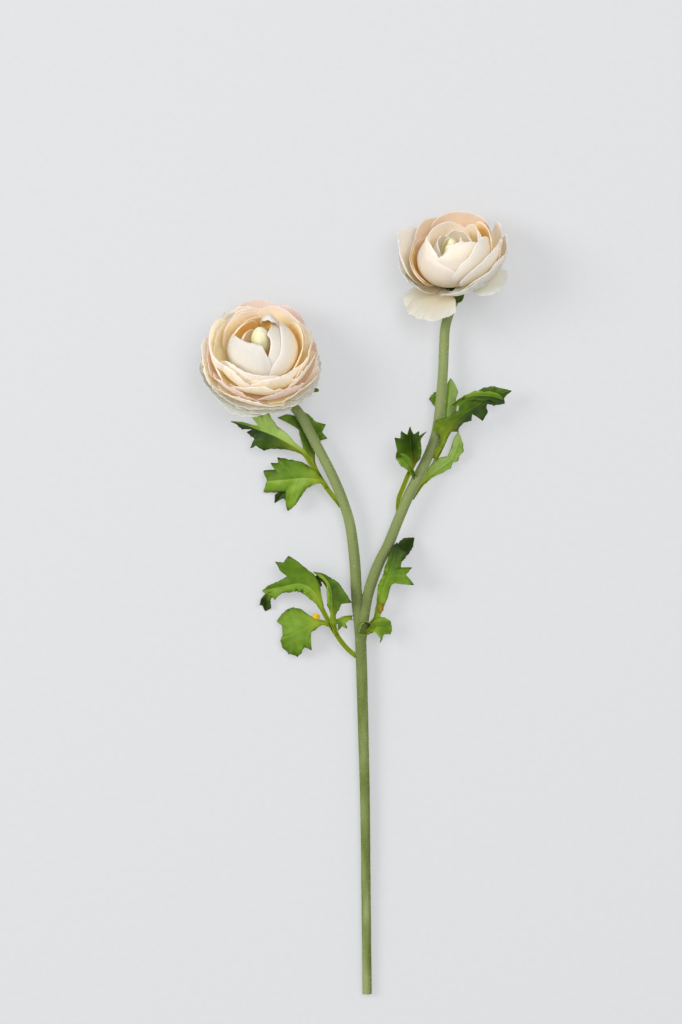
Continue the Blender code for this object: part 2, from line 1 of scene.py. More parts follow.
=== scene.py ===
"""A cut ranunculus spray lying on a pale table: layered silk blooms, lobed cloth leaves and a flocked stem.

Working lengths are in millimetres in the spray's own layout: x across, y along the stem from its cut end,
z up from the table. spot() sets them into the shared frame, in metres.
"""
import math
import random
from bisect import bisect_right
from collections import namedtuple

import bpy
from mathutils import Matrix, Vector, noise


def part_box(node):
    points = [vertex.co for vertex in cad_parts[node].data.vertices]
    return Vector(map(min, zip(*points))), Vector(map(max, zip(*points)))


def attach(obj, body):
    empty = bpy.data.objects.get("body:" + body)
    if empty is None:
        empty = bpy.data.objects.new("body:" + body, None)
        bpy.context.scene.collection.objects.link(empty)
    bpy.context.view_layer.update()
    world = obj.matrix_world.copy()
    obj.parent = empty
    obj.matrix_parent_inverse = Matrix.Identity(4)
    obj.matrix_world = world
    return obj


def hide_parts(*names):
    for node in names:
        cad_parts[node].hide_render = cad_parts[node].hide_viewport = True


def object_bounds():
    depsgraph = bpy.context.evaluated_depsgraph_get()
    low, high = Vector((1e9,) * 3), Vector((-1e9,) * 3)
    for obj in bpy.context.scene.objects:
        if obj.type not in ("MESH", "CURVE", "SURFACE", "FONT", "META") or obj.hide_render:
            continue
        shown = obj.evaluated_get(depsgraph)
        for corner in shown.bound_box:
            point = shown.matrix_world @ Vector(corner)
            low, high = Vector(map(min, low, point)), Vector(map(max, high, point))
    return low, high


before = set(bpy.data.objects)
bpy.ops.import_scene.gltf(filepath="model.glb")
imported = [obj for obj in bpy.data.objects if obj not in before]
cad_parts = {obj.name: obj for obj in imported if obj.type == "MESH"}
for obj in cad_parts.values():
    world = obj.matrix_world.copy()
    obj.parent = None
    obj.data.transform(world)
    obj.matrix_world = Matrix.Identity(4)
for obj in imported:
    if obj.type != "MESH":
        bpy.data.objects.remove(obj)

CAD_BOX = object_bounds()
MM = 0.001
STEM_CORNER = Vector((-72.048, 0.0, 0.0))  # the stem's lowest corner in the layout
SHIFT = Vector(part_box("forked_stem")[0]) / MM - STEM_CORNER

bpy.context.scene.view_settings.view_transform = "Standard"


def spot(point):
    return (Vector(point) + SHIFT) * MM


def add(primitive, name, **measures):
    """Adds a primitive with nothing else selected."""
    bpy.ops.object.select_all(action="DESELECT")
    primitive(**measures)
    piece = bpy.context.object
    piece.name = name
    return piece


def ripple(*place):
    """A smooth uneven value at three numbers, from about -1 to 1."""
    return noise.noise(Vector(place))


# ---- Curves ----


def past(value, start, room):
    """How far a value has gone beyond start, as a share of room; 0 before it."""
    return max(0.0, (value - start) / room)


def bell(x, width):
    """1 where x is 0, and falling away to either side over the width."""
    return math.exp(-(x / width) ** 2)


def catmull_rom(a, b, c, d, t):
    return 0.5 * (2 * b + (c - a) * t + (2 * a - 5 * b + 4 * c - d) * t**2 + (3 * b - a - 3 * c + d) * t**3)


def bezier(a, b, c, d, t):
    return (1 - t) ** 3 * a + 3 * (1 - t) ** 2 * t * b + 3 * (1 - t) * t**2 * c + t**3 * d


def along_knots(knots, t, soft=1.0):
    """Reads a row of vectors at t from 0 to 1: straight between them at soft 0, a smooth curve at 1."""
    place = max(0.0, min(1.0, t)) * (len(knots) - 1)
    i = min(int(place), len(knots) - 2)
    share = place - i
    b, c = knots[i], knots[i + 1]
    a = knots[i - 1] if i else 2 * b - c
    d = knots[i + 2] if i + 2 < len(knots) else 2 * c - b
    return b.lerp(c, share) * (1 - soft) + catmull_rom(a, b, c, d, share) * soft


class Route:
    """A smooth line through points, read by its arc length."""

    FINE = 12

    def __init__(self, points):
        knots = [Vector(p) for p in points]
        knots = [2 * knots[0] - knots[1]] + knots + [2 * knots[-1] - knots[-2]]
        self.line = []
        for i in range(1, len(knots) - 2):
            for j in range(self.FINE):
                self.line.append(catmull_rom(*knots[i - 1:i + 3], j / self.FINE))
        self.line.append(knots[-2])
        self.at = [0.0]
        for a, b in zip(self.line, self.line[1:]):
            self.at.append(self.at[-1] + (b - a).length)
        self.length = self.at[-1]

    def knot_length(self, index):
        return self.at[index * self.FINE]

    def point(self, s):
        if s <= 0:
            return self.line[0] + (self.line[1] - self.line[0]).normalized() * s
        if s >= self.length:
            return self.line[-1] + (self.line[-1] - self.line[-2]).normalized() * (s - self.length)
        low = bisect_right(self.at, s) - 1
        share = (s - self.at[low]) / (self.at[low + 1] - self.at[low])
        return self.line[low].lerp(self.line[low + 1], share)

    def axes(self, s, reach):
        """The ways ahead, to the side and up at s, judged over reach on both sides of it."""
        ahead = (self.point(s + reach) - self.point(s - reach)).normalized()
        side = ahead.cross(Vector((0, 0, 1))).normalized()
        return ahead, side, side.cross(ahead)


# ---- Materials ----


def shade(red, green, blue):
    """A colour given as it looks on a screen, from 0 to 255, as the linear colour a shader takes."""
    def linear(value):
        value /= 255
        return value / 12.92 if value <= 0.04045 else ((value + 0.055) / 1.055) ** 2.4
    return (linear(red), linear(green), linear(blue), 1.0)


class Finish:
    """A material and short ways to add and join its nodes."""

    def __init__(self, name):
        self.material = bpy.data.materials.new(name)
        self.material.use_nodes = True
        self.tree = self.material.node_tree
        self.shader = self.tree.nodes["Principled BSDF"]
        coords = self.tree.nodes.new("ShaderNodeTexCoord").outputs
        self.cloth, self.solid = coords["UV"], coords["Object"]

    def node(self, kind, links, **settings):
        made = self.tree.nodes.new("ShaderNode" + kind)
        for key, value in settings.items():
            setattr(made, key, value)
        for socket, source in links.items():
            self.join(source, made.inputs[socket])
        return made

    def join(self, source, socket):
        if isinstance(source, bpy.types.NodeSocket):
            self.tree.links.new(source, socket)
        else:
            socket.default_value = source

    def channel(self, name):
        return self.node("Attribute", {}, attribute_name=name).outputs["Fac"]

    def height(self, vector):
        return self.node("SeparateXYZ", {0: vector}).outputs[1]

    def mapped(self, source, scale):
        return self.node("Mapping", {"Vector": source, "Scale": scale}).outputs["Vector"]

    def noise(self, vector, scale, detail=3.0, rough=0.55):
        return self.node("TexNoise", {"Vector": vector, "Scale": scale, "Detail": detail,
                                      "Roughness": rough}).outputs["Fac"]

    def math(self, operation, a, b):
        return self.node("Math", {0: a, 1: b}, operation=operation).outputs[0]

    def spread(self, value, low, high, start=0.0, end=1.0):
        """Stretches a value that runs from start to end to run from low to high."""
        return self.node("MapRange", {"Value": value, "From Min": start, "From Max": end, "To Min": low,
                                      "To Max": high}).outputs["Result"]

    def ramp(self, value, stops):
        made = self.node("ValToRGB", {"Fac": value})
        elements = made.color_ramp.elements
        while len(elements) < len(stops):
            elements.new(0.5)
        for element, (place, colour) in zip(elements, stops):
            element.position = place
            element.color = colour
        return made.outputs["Color"]

    def mix(self, share, a, b, blend="MIX"):
        return self.node("Mix", {0: share, 6: a, 7: b}, data_type="RGBA", blend_type=blend).outputs[2]

    def bump(self, height, distance, strength, under=None):
        links = {"Height": height, "Distance": distance, "Strength": strength}
        if under is not None:
            links["Normal"] = under
        return self.node("Bump", links).outputs["Normal"]

    def surface(self, links):
        for socket, source in links.items():
            self.join(source, self.shader.inputs[socket])

    def glow_through(self, share, colour, normal):
        """Thin cloth: part of the light comes through from behind."""
        thin = self.node("BsdfTranslucent", {"Color": colour, "Normal": normal})
        both = self.node("MixShader", {0: share, 1: self.shader.outputs[0], 2: thin.outputs[0]})
        self.join(both.outputs[0], self.tree.nodes["Material Output"].inputs["Surface"])
        return self


def silk(name, shaded_tones, turns=(0.25, 0.6, 0.86, 1.0), through=0.35, patchy=0.16, glow=0.07):
    """Petal silk with fine ribs and a woven grain. shaded_tones run from deep in the fold to the rim, each full at
    its turn: painted shade deep in the fold, where the petals cover each other, paling to the rim's own tone; patchy
    is how far they wander, through how much light comes through the cloth, and glow is a painted glow, an emission
    that lightens the silk though it is no lamp."""
    made = Finish(name)
    shaded_tones = [shade(*shading_place) for shading_place in shaded_tones]
    rim = shaded_tones[-1]
    cloud = made.noise(made.solid, 70.0, 2.0)
    fine = made.noise(made.solid, 420.0)
    streaks = made.noise(made.mapped(made.cloth, (34.0, 2.2, 1.0)), 1.0, 4.0)
    # painted shade: the colour darkens and warms towards the petal's foot, deep in the fold
    shading_place = made.math("ADD", made.height(made.cloth), made.spread(cloud, -patchy, patchy))
    shading_place = made.math("ADD", shading_place, made.spread(streaks, -0.07, 0.07))
    colour = made.ramp(shading_place, list(zip(turns, shaded_tones)))
    colour = made.mix(made.spread(streaks, 0.0, 0.22), colour, made.mix(0.5, colour, rim), "MULTIPLY")
    ribs = made.node("TexWave", {"Vector": made.mapped(made.cloth, (26.0, 1.4, 1.0)), "Scale": 1.0,
                                 "Distortion": 2.4, "Detail": 2.0}, bands_direction="X").outputs["Fac"]
    weave = made.node("TexWave", {"Vector": made.solid, "Scale": 900.0, "Distortion": 0.6}).outputs["Fac"]
    grained = made.bump(made.math("ADD", weave, fine), 0.00008, 0.35, made.bump(ribs, 0.0006, 0.25))
    # painted glow: the emission lights the silk in its own colour and lightens its folds, though it is no lamp
    made.surface({"Base Color": colour, "Roughness": made.spread(fine, 0.5, 0.78), "Normal": grained,
                  "Specular IOR Level": 0.25, "Sheen Weight": 0.25, "Sheen Tint": rim,
                  "Emission Color": colour, "Emission Strength": glow})
    return made.glow_through(through, made.mix(0.5, colour, rim), grained).material


LEAF_CHANNELS = ("vein", "youth", "tone")


def leaf_cloth(name):
    """Printed leaf cloth. tone runs from 0, dark, to 1, pale, and carries painted light and shade: one half of a blade
    lit, the other shaded; youth turns it yellow.
    """
    made = Finish(name)
    veins, youth, tone = (made.channel(channel) for channel in LEAF_CHANNELS)
    cloud = made.noise(made.solid, 110.0)
    fine = made.noise(made.solid, 760.0, 4.0)
    level = made.math("ADD", tone, made.spread(cloud, -0.2, 0.2))
    level = made.math("ADD", level, made.spread(fine, -0.07, 0.07))
    level = made.math("ADD", level, made.math("MULTIPLY", veins, 0.1))
    colour = made.ramp(level, [(0.0, shade(24, 42, 0)), (0.25, shade(50, 76, 0)), (0.5, shade(80, 112, 12)),
                               (0.75, shade(112, 144, 34)), (1.0, shade(156, 182, 96))])
    colour = made.mix(made.math("MULTIPLY", youth, 0.75), colour, shade(156, 170, 36))
    grained = made.bump(fine, 0.00015, 0.4, made.bump(veins, 0.0003, 0.3))
    made.surface({"Base Color": colour, "Roughness": made.spread(fine, 0.4, 0.66), "Normal": grained,
                  "Specular IOR Level": 0.2, "Sheen Weight": 0.04})
    return made.glow_through(0.2, colour, grained).material


def flocked(name, shadow, body, nap_colour):
    """Stem flock: grey-green with a pale nap that catches light at the edges, and paler towards the blooms."""
    made = Finish(name)
    shadow, body, nap_colour = shade(*shadow), shade(*body), shade(*nap_colour)
    long_patches = made.noise(made.mapped(made.solid, (60.0, 14.0, 60.0)), 1.0)
    nap = made.noise(made.solid, 1600.0, 3.0, 0.7)
    specks = made.noise(made.solid, 520.0, 2.0, 0.6)
    colour = made.ramp(long_patches, [(0.3, shadow), (0.55, body), (0.85, nap_colour)])
    towards_blooms = made.spread(made.height(made.solid), 0.0, 0.4, -0.06, 0.06)
    speckled = made.ramp(specks, [(0.66, (0, 0, 0, 1)), (0.74, (0.5, 0.5, 0.5, 1))])
    for share in (towards_blooms, made.spread(nap, 0.0, 0.22), speckled):
        colour = made.mix(share, colour, nap_colour)
    made.surface({"Base Color": colour, "Roughness": made.spread(nap, 0.8, 0.98),
                  "Normal": made.bump(nap, 0.00025, 0.6), "Specular IOR Level": 0.1, "Sheen Weight": 1.0,
                  "Sheen Roughness": 0.3, "Sheen Tint": nap_colour})
    return made.material


HEART_TURNS = (0.2, 0.5, 0.8, 0.98)
FOLD_TURNS = (0.42, 0.68, 0.88, 0.99)
LAYER_TURNS = (0.32, 0.54, 0.76, 0.94)
WHITE_SILK = silk("white_heart_silk", ((228, 216, 186), (222, 216, 203), (220, 215, 208), (228, 224, 219)),
                  HEART_TURNS, 0.3, 0.06, 0.02)
SOFT_SILK = silk("soft_heart_silk", ((228, 210, 174), (223, 210, 189), (222, 212, 198), (236, 229, 221)),
                 HEART_TURNS, 0.3, 0.08, 0.02)
SNOW_SILK = silk("snow_petal_silk", ((240, 230, 200), (242, 236, 224), (240, 236, 229), (244, 241, 237)),
                 FOLD_TURNS, 0.45, 0.1, 0.05)
# painted shade: golden-orange silk, glowing a little, for the deep crevices in and behind the cups where shade falls
FOLD_SHADE_SILK = silk("fold_shade_silk", ((240, 205, 114), (246, 224, 160), (250, 238, 208), (251, 244, 235)),
                  (0.5, 0.76, 0.93, 1.0), 0.5, glow=0.09)
TAN_SILK = silk("tan_back_silk", ((236, 208, 158), (238, 217, 186), (238, 221, 203), (242, 232, 220)),
                (0.4, 0.66, 0.86, 0.98), 0.5, glow=0.05)
PEACH_SILK = silk("peach_fold_silk", ((252, 242, 196), (253, 244, 216), (252, 243, 230), (250, 243, 238)),
                  FOLD_TURNS, 0.6)
CREAM_SILK = silk("cream_layer_silk", ((253, 247, 212), (254, 248, 229), (252, 247, 237), (250, 245, 241)),
                  FOLD_TURNS, 0.6)
LAYER_SILK = silk("open_layer_silk", ((246, 228, 160), (248, 241, 209), (248, 244, 229), (251, 246, 240)),
                  (0.38, 0.6, 0.8, 0.95), 0.6, 0.24, 0.11)
BLUSH_SILK = silk("blush_back_silk", ((250, 234, 198), (246, 232, 217), (243, 228, 220), (244, 233, 228)),
                  LAYER_TURNS, 0.6, 0.2, 0.07)
PALE_SILK = silk("pale_guard_silk", ((244, 238, 218), (240, 237, 226), (236, 235, 229), (234, 234, 230)),
                 LAYER_TURNS, 0.55, glow=0.1)
# painted shade: a darker, greyer copy of the pale silk for the petals that lie in the shade below the right cup
SHADED_PALE_SILK = silk("shaded_pale_silk", ((214, 200, 168), (214, 208, 190), (216, 212, 200), (224, 222, 212)),
                  (0.35, 0.6, 0.8, 0.98), 0.4, glow=0.02)
HEART_SILK = silk("green_heart_silk", ((230, 224, 120), (246, 240, 186), (248, 244, 218), (248, 245, 234)),
                  FOLD_TURNS, 0.5)
BUD_SILK = silk("bud_silk", ((226, 220, 170), (230, 226, 184), (233, 229, 196), (235, 232, 206)),
                through=0.2, patchy=0.2, glow=0.03)
YELLOW_BUD = silk("yellow_bud_cloth", ((196, 160, 20), (214, 184, 40), (228, 204, 70), (220, 200, 90)), through=0.1)
BROWN_BUD = silk("ochre_bud_cloth", ((120, 104, 20), (150, 122, 24), (176, 150, 30), (130, 140, 40)), through=0.1)
STEM_FLOCK = flocked("stem_flock", (66, 77, 24), (82, 95, 35), (146, 157, 108))
FUZZ = flocked("flock_fibre", (150, 160, 110), (180, 188, 150), (214, 218, 196))
LEAF_CLOTH = leaf_cloth("leaf_cloth")

# ---- Sheets ----


def lay_sheet(name, columns, rows, place, thickness, material, slot, nodes=(), channels=()):
    """A grid laid into shape by place(across, along), with across from -1 to 1 and along from 0 to 1,
    and then given its thickness. place also gives a value for each channel."""
    sheet = add(bpy.ops.mesh.primitive_grid_add, name, x_subdivisions=columns, y_subdivisions=rows, size=2.0)
    mesh = sheet.data
    mesh.name = name
    stores = [mesh.attributes.new(channel, "FLOAT", "POINT") for channel in channels]
    for vertex in mesh.vertices:
        vertex.co, values = place(vertex.co.x, (vertex.co.y + 1) / 2)
        for store, value in zip(stores, values):
            store.data[vertex.index].value = value
    shell = sheet.modifiers.new("thickness", "SOLIDIFY")
    shell.thickness = thickness * MM
    shell.offset = 0.0
    shell.use_even_offset = False
    bpy.ops.object.modifier_apply(modifier=shell.name)
    bpy.ops.object.shade_smooth()
    mesh.materials.append(material)
    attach(sheet, "root")
    if nodes:
        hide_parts(*nodes)


# ---- Blooms ----


class Bloom:
    """Where a flower sits and faces. Its own coordinates are x to the right, y to the back, h up its axis."""

    def __init__(self, prefix, seat, facing):
        self.prefix = prefix
        self.seat = Vector(seat)
        self.axis = Vector(facing).normalized()
        self.right = Vector((self.axis.z, 0.0, -self.axis.x)).normalized()
        self.back = self.axis.cross(self.right)

    def spot(self, x, y, h):
        return spot(self.seat + self.right * x + self.back * y + self.axis * h)


LEFT = Bloom("left", (-69.0, 401.0, 15.4), (0.06, 0.58, 0.813))
RIGHT = Bloom("right", (57.2, 459.0, 13.8), (-0.16, 0.806, 0.57))


def cone_radius(height):
    """The radius of the receptacle that the petals stand round."""
    return 9.0 - 0.2 * height


def ragged(x, seed):
    """How far a torn cloth edge falls short at x, in millimetres round it: 0 to about 1."""
    coarse = abs(ripple(x * 0.16, seed * 7.3, 0.0))
    middle = abs(ripple(x * 0.45, seed * 3.1, 5.0))
    fine = abs(ripple(x * 1.2, seed * 1.7, 9.0))
    return 0.9 * coarse + 0.6 * middle + 0.45 * fine


def round_edge(middle, span, corner, top=1.0, lean=0.0):
    """The rim of an even petal as (degrees round the flower, share of the bowl's height)."""
    edge = []
    for k in range(-4, 5):
        u = k / 4
        edge.append((middle + u * span / 2, top * (1 - corner * abs(u) ** 2.5 + lean * u)))
    return edge


ROW_CROWDING = 1.35  # how much closer the rows of a petal lie near its rim
FULL_WIDTH_AT = 0.55  # the share of the bowl's height at which a petal has opened to its full width
TABLE_GAP = 0.4  # how far a petal's foot stays clear of the table; its rim stays a little further


def petal(bloom, name, foot, bowl, edge, material, nodes=(), *, seed, wave, fray=0.03, ruffle=0.0, lap=1.5,
          curl=0.0, tuck=(0.0, 0.0), shift=(0.0, 0.0), claw=0.4, flat=0.0, thick=0.26, columns=52, rows=20,
          green=None):
    """A petal cut from a bowl. bowl is two bends and the rim as (radius, height); edge draws the petal's rim on
    it. lap sets one side outside the next petal, wave, ruffle and fray work its rim, curl turns the rim out, tuck
    pulls either side in, shift carries the rim sideways, claw is how wide the foot is, and flat opens the petal's
    curve towards a flat plate. green gives a sepal's tone and youth."""
    knots = [Vector((cone_radius(foot), foot))] + [Vector(k) for k in bowl]
    rim_line = [Vector(pair) for pair in edge]
    middle = math.radians((edge[0][0] + edge[-1][0]) / 2)
    radius = bowl[1][0]

    def place(across, along):
        degrees, top = along_knots(rim_line, (across + 1) / 2)
        around_rim = math.radians(degrees)
        if fray:
            top *= 1 - fray * ragged(around_rim * radius, seed)
        v = 1 - (1 - along) ** ROW_CROWDING
        s = v * top
        here = bezier(*knots, s)
        ahead = bezier(*knots, s + 0.01) - bezier(*knots, s - 0.01)
        outward = Vector((ahead.y, -ahead.x)).normalized()
        widening = math.sin(math.pi / 2 * min(1.0, s / FULL_WIDTH_AT))
        around = middle + (around_rim - middle) * (claw + (1 - claw) * widening)
        off = lap * across / 2 * (0.4 + 0.6 * s)
        off += wave * s * s * 1.6 * ripple(around * 2.3, s * 1.5, seed * 5.1)
        off += ruffle * v**5 * ripple(around * 9.0, s * 3.0, seed * 2.7)
        off += curl * past(v, 0.78, 0.22) ** 2
        for pull, outer in zip(tuck, (-across, across)):
            off -= pull * past(outer, 0.35, 0.65) ** 1.6 * s
        here += outward * off
        here.x *= 1 + flat * s * (1 / math.cos(min(0.9, abs(around - middle))) - 1)
        x = here.x * math.cos(around) + shift[0] * s
        y = here.x * math.sin(around) + shift[1] * s
        where = bloom.spot(x, y, here.y)
        where.z = max(where.z, CAD_BOX[0].z + (TABLE_GAP + 0.5 * v) * MM)
        if not green:
            return where, ()
        return where, (bell(across, 0.12), green[1] * (1 - v), green[0])

    cloth, slot, channels = ("cloth", "leaf_green", LEAF_CHANNELS) if green else ("silk", "petal_cream", ())
    lay_sheet(f"{bloom.prefix}_{name}_{cloth}", columns, rows, place, thick, material, slot,
              [f"{bloom.prefix}_{node}" for node in nodes], channels)


def drape(seed, wave, fray, ruffle=0.0, **more):
    """How the cloth of a petal lies; petal() says what each measure does."""
    return dict(seed=seed, wave=wave, fray=fray, ruffle=ruffle, **more)


def single_petals(bloom, table):
    """Each row has the petal's name, the CAD petal that it replaces or "", its foot's height, bowl, edge, silk and
    drape. The edge is drawn point by point, or is what round_edge() takes."""
    for name, node, foot, bowl, edge, material, lie in table:
        if isinstance(edge, tuple):
            edge = round_edge(*edge)
        petal(bloom, name, foot, bowl, edge, material, [node] if node else [], **lie)


def whorls(bloom, table):
    """Even rings of petals, each petal a little different. Each row has the petals' name, their number, their feet's
    height, bowl, the degrees that one spans, where the first stands, how round its corners are, silk, the name of
    the CAD petals that they replace or "", and drape."""
    for name, count, foot, bowl, span, first, corner, material, node, lie in table:
        dice = random.Random(lie["seed"])
        for index in range(count):
            middle = first + 360 * index / count + dice.uniform(-5, 5)
            height = dice.uniform(-0.03, 0.015)
            edge = round_edge(middle, span * dice.uniform(0.92, 1.06), corner, 1 + height, dice.uniform(-0.03, 0.03))
            petal(bloom, f"{name}_{index + 1}", foot, bowl, edge, material, [f"{node}_{index + 1}"] if node else [],
                  **(lie | {"seed": lie["seed"] + index * 1.37}))


HOOD_MIDDLE, HOOD_SIZE = (5.4, 13.0, 35.8), (5.4, 6.0, 7.0)
HOOD_START = -75  # degrees round the hood at its low back edge; lip is where it ends
HOOD_SIDES = 82  # degrees from the hood's middle to either side


def hood(bloom, name, scale, lip, material):
    """The curled tip of a petal: an open shell that rises behind the heart, rounds over and ends in a lip."""
    def place(across, along):
        end = lip + 16 * ripple(across * 1.9, 2.2, 6.1)
        turn = math.radians(HOOD_START + (end - HOOD_START) * along)
        side = math.radians(HOOD_SIDES * across)
        dent = 1 + 0.1 * ripple(across * 1.8, along * 2.4, 8.8)
        reach = math.cos(side) * scale * dent
        x = HOOD_MIDDLE[0] + HOOD_SIZE[0] * math.sin(side) * scale - 0.8 * (1 - along)
        y = HOOD_MIDDLE[1] + HOOD_SIZE[1] * reach * math.cos(turn) - 1.3 * math.sin(side)
        h = HOOD_MIDDLE[2] + HOOD_SIZE[2] * reach * math.sin(turn) - 0.5 * math.sin(side)
        return bloom.spot(x, y, h), ()

    lay_sheet(f"{bloom.prefix}_{name}_silk", 26, 30, place, 0.35, material, "petal_cream")


# the closed cup round the left heart
LEFT_CUP = [
    ("cup_petal_front", "cup_petal_1", 12.3, ((22, 13), (32, 33), (6, 40)), [(148, .45), (151, .62), (156, .74),
     (172, .84), (190, .91), (221, .97), (262, .985), (276, .93), (283, .84), (287, .67), (290, .5)], WHITE_SILK,
     drape(1.1, .5, 0, lap=.6, thick=.4, claw=.6)),
    # cup_petal_right and cup_petal_folded take the whiter snow silk: painted light on the side turned from the side
    # softbox
    ("cup_petal_right", "cup_petal_2", 12.3, ((22.5, 13), (33.5, 33), (7.5, 40)), [(-82, .55), (-78, .68), (-70, .79),
     (-45, .88), (-12, .935), (22, .93), (46, .87), (58, .76), (66, .6)], SNOW_SILK,
     drape(2.1, .4, 0, lap=.4, thick=.4, claw=.6)),
    ("cup_petal_folded", "cup_petal_3", 12.6, ((21.5, 13.5), (31, 33), (3.8, 40)), [(-98, .5), (-88, .7), (-76, .85),
     (-50, .95), (0, 1), (34, 1), (54, .95), (68, .8), (78, .6)], SNOW_SILK,
     drape(3.1, .4, 0, lap=.3, thick=.4, claw=.6)),
]
# the lining behind it, golden-orange silk painted with the shade of the crevice behind the cup, and the first layer
# that opens round it
LEFT_LAYERS = [
    ("cup_petal_back_left", "cup_petal_4", 12.6, ((20, 13.5), (25, 28), (16.5, 37)), [(96, .7), (104, .86),
     (118, .97), (140, 1), (158, .97), (170, .86), (180, .7)], FOLD_SHADE_SILK, drape(5.1, .4, .02, lap=.3, claw=.6)),
    ("cup_petal_back", "", 12.6, ((21, 13.5), (25, 27), (19.5, 35)), [(30, .7), (40, .86), (60, .97), (85, 1),
     (110, .97), (124, .86), (132, .7)], FOLD_SHADE_SILK, drape(6.1, .4, .02, lap=.3, claw=.6)),
    ("cup_petal_heart_left", "", 13, ((13, 15), (17, 27), (12.5, 36)), [(100, .7), (112, .86), (130, .98), (156, 1),
     (176, .95), (190, .84), (200, .7)], CREAM_SILK, drape(6.6, .8, .03, lap=.6, curl=-.8, claw=.6)),
    ("inner_petal_left", "inner_petal_1", 9.7, ((20, 10.5), (35, 20), (34.5, 37.5)), [(132, .72), (140, .88),
     (154, .97), (172, 1), (190, .985), (203, .96), (213, .92), (220, .8)], CREAM_SILK,
     drape(7.1, .6, .012, lap=.2, curl=-.8, tuck=(.5, 7))),
    ("inner_petal_back_left", "inner_petal_2", 9.7, ((20, 11), (29, 21), (25, 37)), [(84, .7), (94, .88), (112, .98),
     (132, 1), (150, .97), (160, .86), (168, .7)], PEACH_SILK, drape(8.1, .5, .02, lap=.4)),
    ("inner_petal_back_right", "inner_petal_3", 9.9, ((20, 11), (29, 21), (28.5, 37)), [(12, .7), (22, .86),
     (40, .96), (58, 1), (78, .98), (92, .86), (100, .7)], PEACH_SILK, drape(9.1, .5, .02, lap=.4)),
    ("inner_petal_right", "", 9.7, ((20, 10.5), (28, 21), (25.5, 37)), [(-52, .66), (-44, .84), (-28, .95), (-6, 1),
     (16, 1), (34, .96), (46, .86), (54, .7)], FOLD_SHADE_SILK, drape(10.1, .5, .015, lap=.4, curl=.4)),
    ("inner_petal_front_left", "inner_petal_4", 9.5, ((20, 10.2), (30, 19), (26.5, 34.5)), [(196, .72), (202, .86),
     (212, .96), (228, 1), (250, 1), (272, .985), (290, .95), (302, .84)], CREAM_SILK,
     drape(11.1, .5, .02, lap=.8, tuck=(-7, 0))),
    ("inner_petal_front_right", "", 9.3, ((20, 9.9), (31, 18), (28.5, 34)), [(248, .78), (258, .92), (276, .97),
     (296, 1), (318, .99), (334, .92), (344, .78)], CREAM_SILK, drape(12.1, .6, .03, lap=.8)),
]
LEFT_WHORLS = [
    ("bowl_petal_inmost", 6, 8.2, ((21, 9), (33, 18), (30, 34.5)), 80, 286, .36, LAYER_SILK, "",
     drape(21, .9, .04, .8, lap=2, flat=.22)),
    ("bowl_petal_inner", 5, 7.1, ((21, 8), (35, 16), (33, 31.5)), 94, 260, .4, LAYER_SILK, "bowl_petal",
     drape(22, 1, .05, 1, lap=2, flat=.2)),
    ("bowl_petal_outer", 6, 5.9, ((22, 6.6), (36.5, 12.5), (35.6, 27)), 78, 292, .38, BLUSH_SILK, "",
     drape(23, 1.2, .06, 1.1, lap=2, flat=.2)),
    ("outer_petal_upper", 5, 4.7, ((22, 5.2), (37.5, 9.5), (37.6, 21.5)), 92, 250, .36, LAYER_SILK, "outer_petal",
     drape(24, 1.2, .065, 1.3, lap=2, flat=.18)),
    ("outer_petal_lower", 6, 3.4, ((22, 3.6), (37, 6), (39, 16)), 80, 278, .3, PALE_SILK, "",
     drape(25, 1.2, .08, 1.4, lap=1.8, flat=.15)),
    ("guard_petal", 6, 2.1, ((21, 1.8), (34, 3), (39.8, 10.5)), 80, 270, .28, PALE_SILK, "guard_petal",
     drape(26, 1, .09, 1.5, lap=1.6, flat=.1)),
]
LEFT_EXTRAS = [
    ("guard_petal_low_left", "", 1.2, ((21, 1.2), (35, 1.8), (41.6, 8)), (246, 50, .25), PALE_SILK,
     drape(29, 1.2, .09, 1.8)),
    ("guard_petal_left", "", 1.4, ((21, 1.6), (35, 3.4), (40.2, 12)), (192, 54, .28), PALE_SILK,
     drape(30, 1.2, .08, 1.6)),
    ("blush_petal_top", "", 6.6, ((21, 7.2), (35.5, 14), (38, 31)), (92, 84, .3), BLUSH_SILK, drape(31, 1, .03, 1)),
    ("blush_petal_top_right", "", 6.8, ((21, 7.2), (35, 14.5), (36, 32)), (56, 60, .3), BLUSH_SILK,
     drape(32, 1, .03, 1)),
    ("pale_petal_top_left", "", 7.4, ((21, 8.2), (34.5, 16), (34.6, 33)), (140, 62, .3), PALE_SILK,
     drape(33, 1, .05, 1.2)),
]
LEAN = dict(shift=(3.0, 0.0), claw=0.6)  # the right cup leans over to its right
